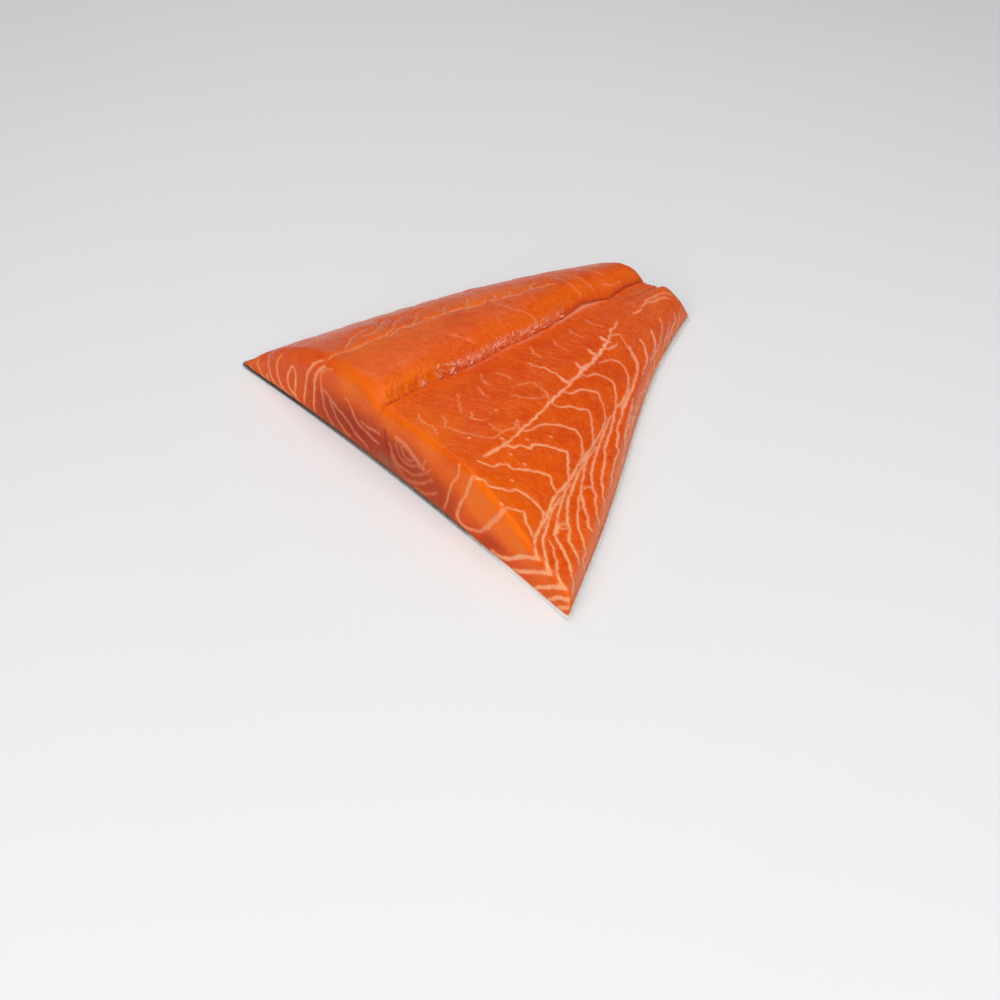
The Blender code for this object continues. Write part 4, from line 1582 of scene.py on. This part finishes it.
@dataclass(frozen=True)
class FleshFinish:
    """Wet raw salmon flesh: deep orange, with painted glow where the light goes through the cut edge,
    painted shade in the seam and on the cut, and painted pink sheen.
    """

    deep: Color = (0.68, 0.056, 0.0)
    bright: Color = (0.80, 0.105, 0.0)
    # Painted glow, partly the flesh's own yellow-orange.
    painted_glow: Color = (0.93, 0.17, 0.0)
    # Painted shade.
    painted_shade: Color = (0.33, 0.015, 0.0)
    # Darker red towards the bottom of the cut.
    lower_cut_dark: Color = (0.38, 0.034, 0.0)
    # Pink membrane with painted sheen.
    membrane_and_sheen: Color = (0.75, 0.165, 0.05)
    bank: Color = (0.92, 0.36, 0.22)
    fringe: Color = (0.88, 0.20, 0.055)
    fat: Color = (1.0, 0.45, 0.22)
    rosy_fat: Color = (1.0, 0.43, 0.27)
    # Grey of the seam's foot, also used for the painted grey reflection along the cut's foot.
    grey: Color = (0.28, 0.14, 0.08)
    line_softness: float = 0.36
    tone_share: float = 0.55
    lower_cut_dark_strength: float = 0.72
    membrane_and_sheen_strength: float = 0.5
    painted_glow_strength: float = 0.8
    painted_shade_strength: float = 0.85
    halo_strength: float = 0.3
    thread_strength: float = 0.25
    tuft_strength: float = 0.6
    fringe_strength: float = 0.55
    fat_strength: float = 0.85
    bank_strength: float = 0.6
    grey_strength: float = 0.5
    roughness: float = 0.23
    mottled_roughness: float = 0.14
    cut_roughness: float = 0.06
    line_height: float = 0.35
    tuft_height: float = 1.1
    bump_strength: float = 0.5
    bump_depth: float = 0.5

    def build(self) -> bpy.types.Material:
        """Make the material.

        Returns:
            The material, fed by the fields stored on the flesh.
        """
        plain = {
            "IOR": 1.38,
            "Specular IOR Level": 0.16,
            "Subsurface Weight": 0.18,
            "Subsurface Scale": 1.6 * METRE,
            "Subsurface Radius": (1.0, 0.35, 0.12),
            "Coat Weight": 0.1,
            "Coat Roughness": 0.12,
        }
        material, sheet, shader = new_material("wet_salmon_flesh", plain)
        place = sheet.place()
        offset, facts = (sheet.stored(name).outputs["Vector"] for name in ("fat_offset", "fat_facts"))
        lines = sheet.group(
            fat_line_group(), Offset=offset, Facts=facts, Place=place, Softness=self.line_softness
        )
        grain = sheet.group(wet_grain_group(), Grain=sheet.stored("grain").outputs["Vector"], Place=place)
        tear, on_top, torn = sheet.parts("tears")
        # The grey at the seam's foot, the painted grey reflection along the cut's foot, and the cut.
        grey, foot, on_cut = sheet.parts("trims")
        fleck = sheet.ramp(sheet.noise(place, 620.0, 2.0, 0.6), 0.5, 0.62)
        masks = {
            "threads": sheet.math("MULTIPLY", grain["Thread"], on_top),
            "tuft": sheet.math("MULTIPLY", fleck, tear),
            "torn": torn,
            # The grey at the seam's foot together with the painted grey reflection along the cut's foot.
            "edge": sheet.math("MAXIMUM", grey, foot),
        }
        sheet.feed(shader["Base Color"], self._color(sheet, lines, grain, masks))
        rough = sheet.math("MULTIPLY_ADD", grain["Mottle"], self.mottled_roughness, self.roughness)
        sheet.feed(shader["Roughness"], sheet.math("MULTIPLY_ADD", on_cut, self.cut_roughness, rough))
        height = sheet.math("MULTIPLY_ADD", lines["Mask"], self.line_height, grain["Height"])
        height = sheet.math("MULTIPLY_ADD", masks["tuft"], self.tuft_height, height)
        sheet.feed(shader["Normal"], sheet.bump(height, self.bump_strength, self.bump_depth * METRE))
        return material

    def _color(
        self,
        sheet: NodeSheet,
        lines: dict[str, Socket],
        grain: dict[str, Socket],
        masks: dict[str, Socket],
    ) -> Socket:
        """Lay the colours over one another.

        Args:
            sheet: The material's nodes.
            lines: Outputs of the fat lines.
            grain: Outputs of the wet grain.
            masks: Where the threads, the torn tufts, the torn floor and the greyed edge are; the greyed
                edge is partly a painted grey reflection of the table.

        Returns:
            The finished colour.
        """
        # Painted glow, painted shade and the darker low cut.
        painted_glow, painted_shade, lower_cut_dark = sheet.parts("zones")
        # Pink with painted sheen, the pale seam banks and the share towards the tail.
        membrane_and_sheen, bank, tailward = sheet.parts("casts")
        streaks = sheet.math("MULTIPLY", grain["Streak"], self.tone_share)
        tone = sheet.math("MULTIPLY_ADD", grain["Mottle"], self.tone_share, streaks)
        # Painted pink sheen, streaked with the grain.
        sheen_veil = sheet.math("MULTIPLY", membrane_and_sheen, sheet.math("ADD", grain["Streak"], 0.7))
        torn_color = sheet.blend(masks["torn"], rgba(self.bank), rgba(self.fringe))
        fat = sheet.blend(tailward, rgba(self.fat), rgba(self.rosy_fat))
        color = sheet.blend(tone, rgba(self.deep), rgba(self.bright))
        for mask, strength, over in (
            # Darker red towards the bottom of the cut.
            (lower_cut_dark, self.lower_cut_dark_strength, rgba(self.lower_cut_dark)),
            # Pink with painted sheen.
            (sheen_veil, self.membrane_and_sheen_strength, rgba(self.membrane_and_sheen)),
            # Painted glow.
            (painted_glow, self.painted_glow_strength, rgba(self.painted_glow)),
            # Painted shade.
            (painted_shade, self.painted_shade_strength, rgba(self.painted_shade)),
            (lines["Halo"], self.halo_strength, rgba(self.bright)),
            (masks["threads"], self.thread_strength, rgba(self.bank)),
            (masks["tuft"], self.tuft_strength, torn_color),
            (lines["Fringe"], self.fringe_strength, rgba(self.fringe)),
            (lines["Mask"], self.fat_strength, fat),
            (bank, self.bank_strength, rgba(self.bank)),
            # Grey at the seam's foot and painted grey reflection along the cut's foot.
            (masks["edge"], self.grey_strength, rgba(self.grey)),
        ):
            color = sheet.blend(sheet.math("MULTIPLY", mask, strength), color, over)
        return color


@dataclass(frozen=True)
class SkinFinish:
    """Wet fish skin: dark on the back, silver on the side and white on the belly, with small scales."""

    back: Color = (0.030, 0.028, 0.026)
    side: Color = (0.30, 0.28, 0.25)
    belly: Color = (0.95, 0.90, 0.82)
    scale_count: float = 420.0

    def build(self) -> bpy.types.Material:
        """Make the material.

        Returns:
            The material.
        """
        plain = {"Coat Weight": 0.5, "Coat Roughness": 0.1}
        material, sheet, shader = new_material("wet_salmon_skin", plain)
        place = sheet.place()
        flank = sheet.stored("flank").outputs["Fac"]
        blotch = sheet.noise(place, 120.0, 3.0, 0.6)
        uneven = sheet.math("MULTIPLY", sheet.math("SUBTRACT", blotch, 0.5), 0.35)
        shifted = sheet.math("ADD", flank, uneven)
        color = sheet.blend(sheet.ramp(shifted, -0.75, 0.1), rgba(self.back), rgba(self.side))
        color = sheet.blend(sheet.ramp(shifted, 0.4, 0.7), color, rgba(self.belly))
        scales = sheet.add("ShaderNodeTexVoronoi", feature="F1")
        sheet.feed(scales.inputs["Vector"], sheet.stretch(place, (1.0, 0.7, 1.0)))
        sheet.feed(scales.inputs["Scale"], self.scale_count)
        cell = scales.outputs["Distance"]
        dark = sheet.ramp(flank, 0.2, 0.7, 1.0, 0.1)
        rims = sheet.math("MULTIPLY", sheet.ramp(cell, 0.25, 0.6, 0.0, 0.35), dark)
        sheet.feed(shader["Base Color"], sheet.blend(rims, color, rgba(self.back)))
        sheet.feed(shader["Roughness"], sheet.ramp(blotch, 0.3, 0.7, 0.22, 0.42))
        sheet.feed(shader["Metallic"], sheet.ramp(shifted, -0.4, 0.3, 0.0, 0.25))
        sheet.feed(shader["Normal"], sheet.bump(sheet.math("SUBTRACT", 1.0, cell), 0.5, 0.0003))
        return material


@dataclass(frozen=True)
class FlakeFinish:
    """Torn muscle that has turned pale and pink."""

    pale: Color = (0.88, 0.33, 0.21)
    red: Color = (0.84, 0.15, 0.03)

    def build(self) -> bpy.types.Material:
        """Make the material.

        Returns:
            The material.
        """
        plain = {
            "Specular IOR Level": 0.3,
            "Subsurface Weight": 0.15,
            "Subsurface Scale": 1.5 * METRE,
            "Subsurface Radius": (1.0, 0.4, 0.2),
        }
        material, sheet, shader = new_material("torn_muscle", plain)
        mottle = sheet.noise(sheet.place(), 700.0)
        tone = sheet.math("ADD", sheet.stored("tone").outputs["Fac"], mottle)
        amount = sheet.ramp(tone, 0.6, 1.3)
        sheet.feed(shader["Base Color"], sheet.blend(amount, rgba(self.red), rgba(self.pale)))
        sheet.feed(shader["Roughness"], sheet.ramp(mottle, 0.3, 0.7, 0.3, 0.45))
        return material


@dataclass(frozen=True)
class SoftLamp:
    """One large soft light, placed by its direction from the fillet; the sizes are metres and watts."""

    name: str
    azimuth: float
    elevation: float
    distance: float
    size: float
    power: float

    def build(self, target: Vector) -> None:
        """Hang the light around the target, in metres, and point it there."""
        a, e = math.radians(self.azimuth), math.radians(self.elevation)
        data = bpy.data.lights.new(self.name, "AREA")
        data.shape = "DISK"
        data.size = self.size
        data.energy = self.power
        lamp = bpy.data.objects.new(self.name, data)
        away = Vector((math.sin(a) * math.cos(e), -math.cos(a) * math.cos(e), math.sin(e)))
        lamp.location = target + away * self.distance
        lamp.rotation_euler = away.to_track_quat("Z", "Y").to_euler()
        bpy.context.scene.collection.objects.link(lamp)


@dataclass
class Studio:
    """Pale floor, soft lights and the camera. The camera's place is in the fillet's own layout."""

    shape: FilletShape
    floor_size: float = 6.0
    floor_gap: float = 0.0002
    floor_color: Color = (0.87, 0.87, 0.88)
    floor_shade: float = 0.97
    sky: float = 0.24
    target: tuple[float, float, float] = (0.0, 70.0, 10.0)
    camera_place: tuple[float, float, float] = (295.4, -214.5, 307.4)
    azimuth: float = 47.19
    elevation: float = 41.92
    roll: float = -1.35
    lens: float = 45.4
    sensor: float = 36.0
    lamps: tuple[SoftLamp, ...] = (
        SoftLamp("key", -110.0, 60.0, 1.0, 0.7, 2.2),
        SoftLamp("top", 80.0, 52.0, 1.1, 1.0, 5.0),
        SoftLamp("fill", 25.0, 38.0, 1.0, 1.0, 4.8),
    )

    def build(self) -> None:
        """Set up the whole studio, with colours shown as they are."""
        bpy.context.scene.view_settings.view_transform = "Standard"
        self._floor()
        for lamp in self.lamps:
            lamp.build(self._in_frame(self.target))
        self._sky()
        self._camera()

    def _in_frame(self, place: tuple[float, float, float]) -> Vector:
        """Place in the fillet's own layout as a place in the frame, in metres."""
        return self.shape.seat() + Vector(place) * METRE

    def _floor(self) -> None:
        """Pale matte floor under the fillet."""
        half = self.floor_size / 2.0
        corners = [(-half, -half, 0.0), (half, -half, 0.0), (half, half, 0.0), (-half, half, 0.0)]
        data = bpy.data.meshes.new("floor")
        data.from_pydata(corners, [], [(0, 1, 2, 3)])
        material, sheet, shader = new_material("pale_floor", {"Roughness": 0.75})
        darker = tuple(self.floor_shade * part for part in self.floor_color)
        speck = sheet.noise(sheet.place(), 6.0, 3.0)
        sheet.feed(shader["Base Color"], sheet.blend(speck, rgba(self.floor_color), rgba(darker)))
        floor = add_piece("floor", data, material)
        floor.location = (0.0, 0.0, CAD_BOX[0][2] - self.floor_gap)

    def _sky(self) -> None:
        """Even white surroundings."""
        world = bpy.data.worlds.new("studio")
        world.use_nodes = True
        background = world.node_tree.nodes["Background"].inputs
        background["Color"].default_value = (1.0, 1.0, 1.0, 1.0)
        background["Strength"].default_value = self.sky
        bpy.context.scene.world = world

    def _camera(self) -> None:
        """Camera that looks down across the cut and the belly."""
        data = bpy.data.cameras.new("camera")
        data.lens = self.lens
        data.sensor_width = self.sensor
        data.clip_start = 0.01
        camera = bpy.data.objects.new("camera", data)
        turn = Matrix.Rotation(math.radians(self.azimuth), 4, "Z")
        tilt = Matrix.Rotation(math.radians(90.0 - self.elevation), 4, "X")
        lean = Matrix.Rotation(math.radians(self.roll), 4, "Z")
        place = Matrix.Translation(self._in_frame(self.camera_place))
        camera.matrix_world = place @ turn @ tilt @ lean
        bpy.context.scene.collection.objects.link(camera)
        bpy.context.scene.camera = camera


def main() -> None:
    """Build the fillet's pieces in order and set them in the studio."""
    logging.basicConfig(level=logging.INFO, format="%(name)s: %(message)s")
    shape = FilletShape()
    flesh = Flesh(shape).build(FleshFinish(), Marbling(shape))
    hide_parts("flesh")
    skin = Skin(shape).build(SkinFinish())
    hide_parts("skin")
    flakes = SeamFlakes(shape).build(flesh, FlakeFinish())
    for piece in (flesh, skin, flakes):
        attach(piece, "root")
        LOG.info("%s: %d faces", piece.name, len(piece.data.polygons))
    Studio(shape).build()


if __name__ == "__main__":
    main()
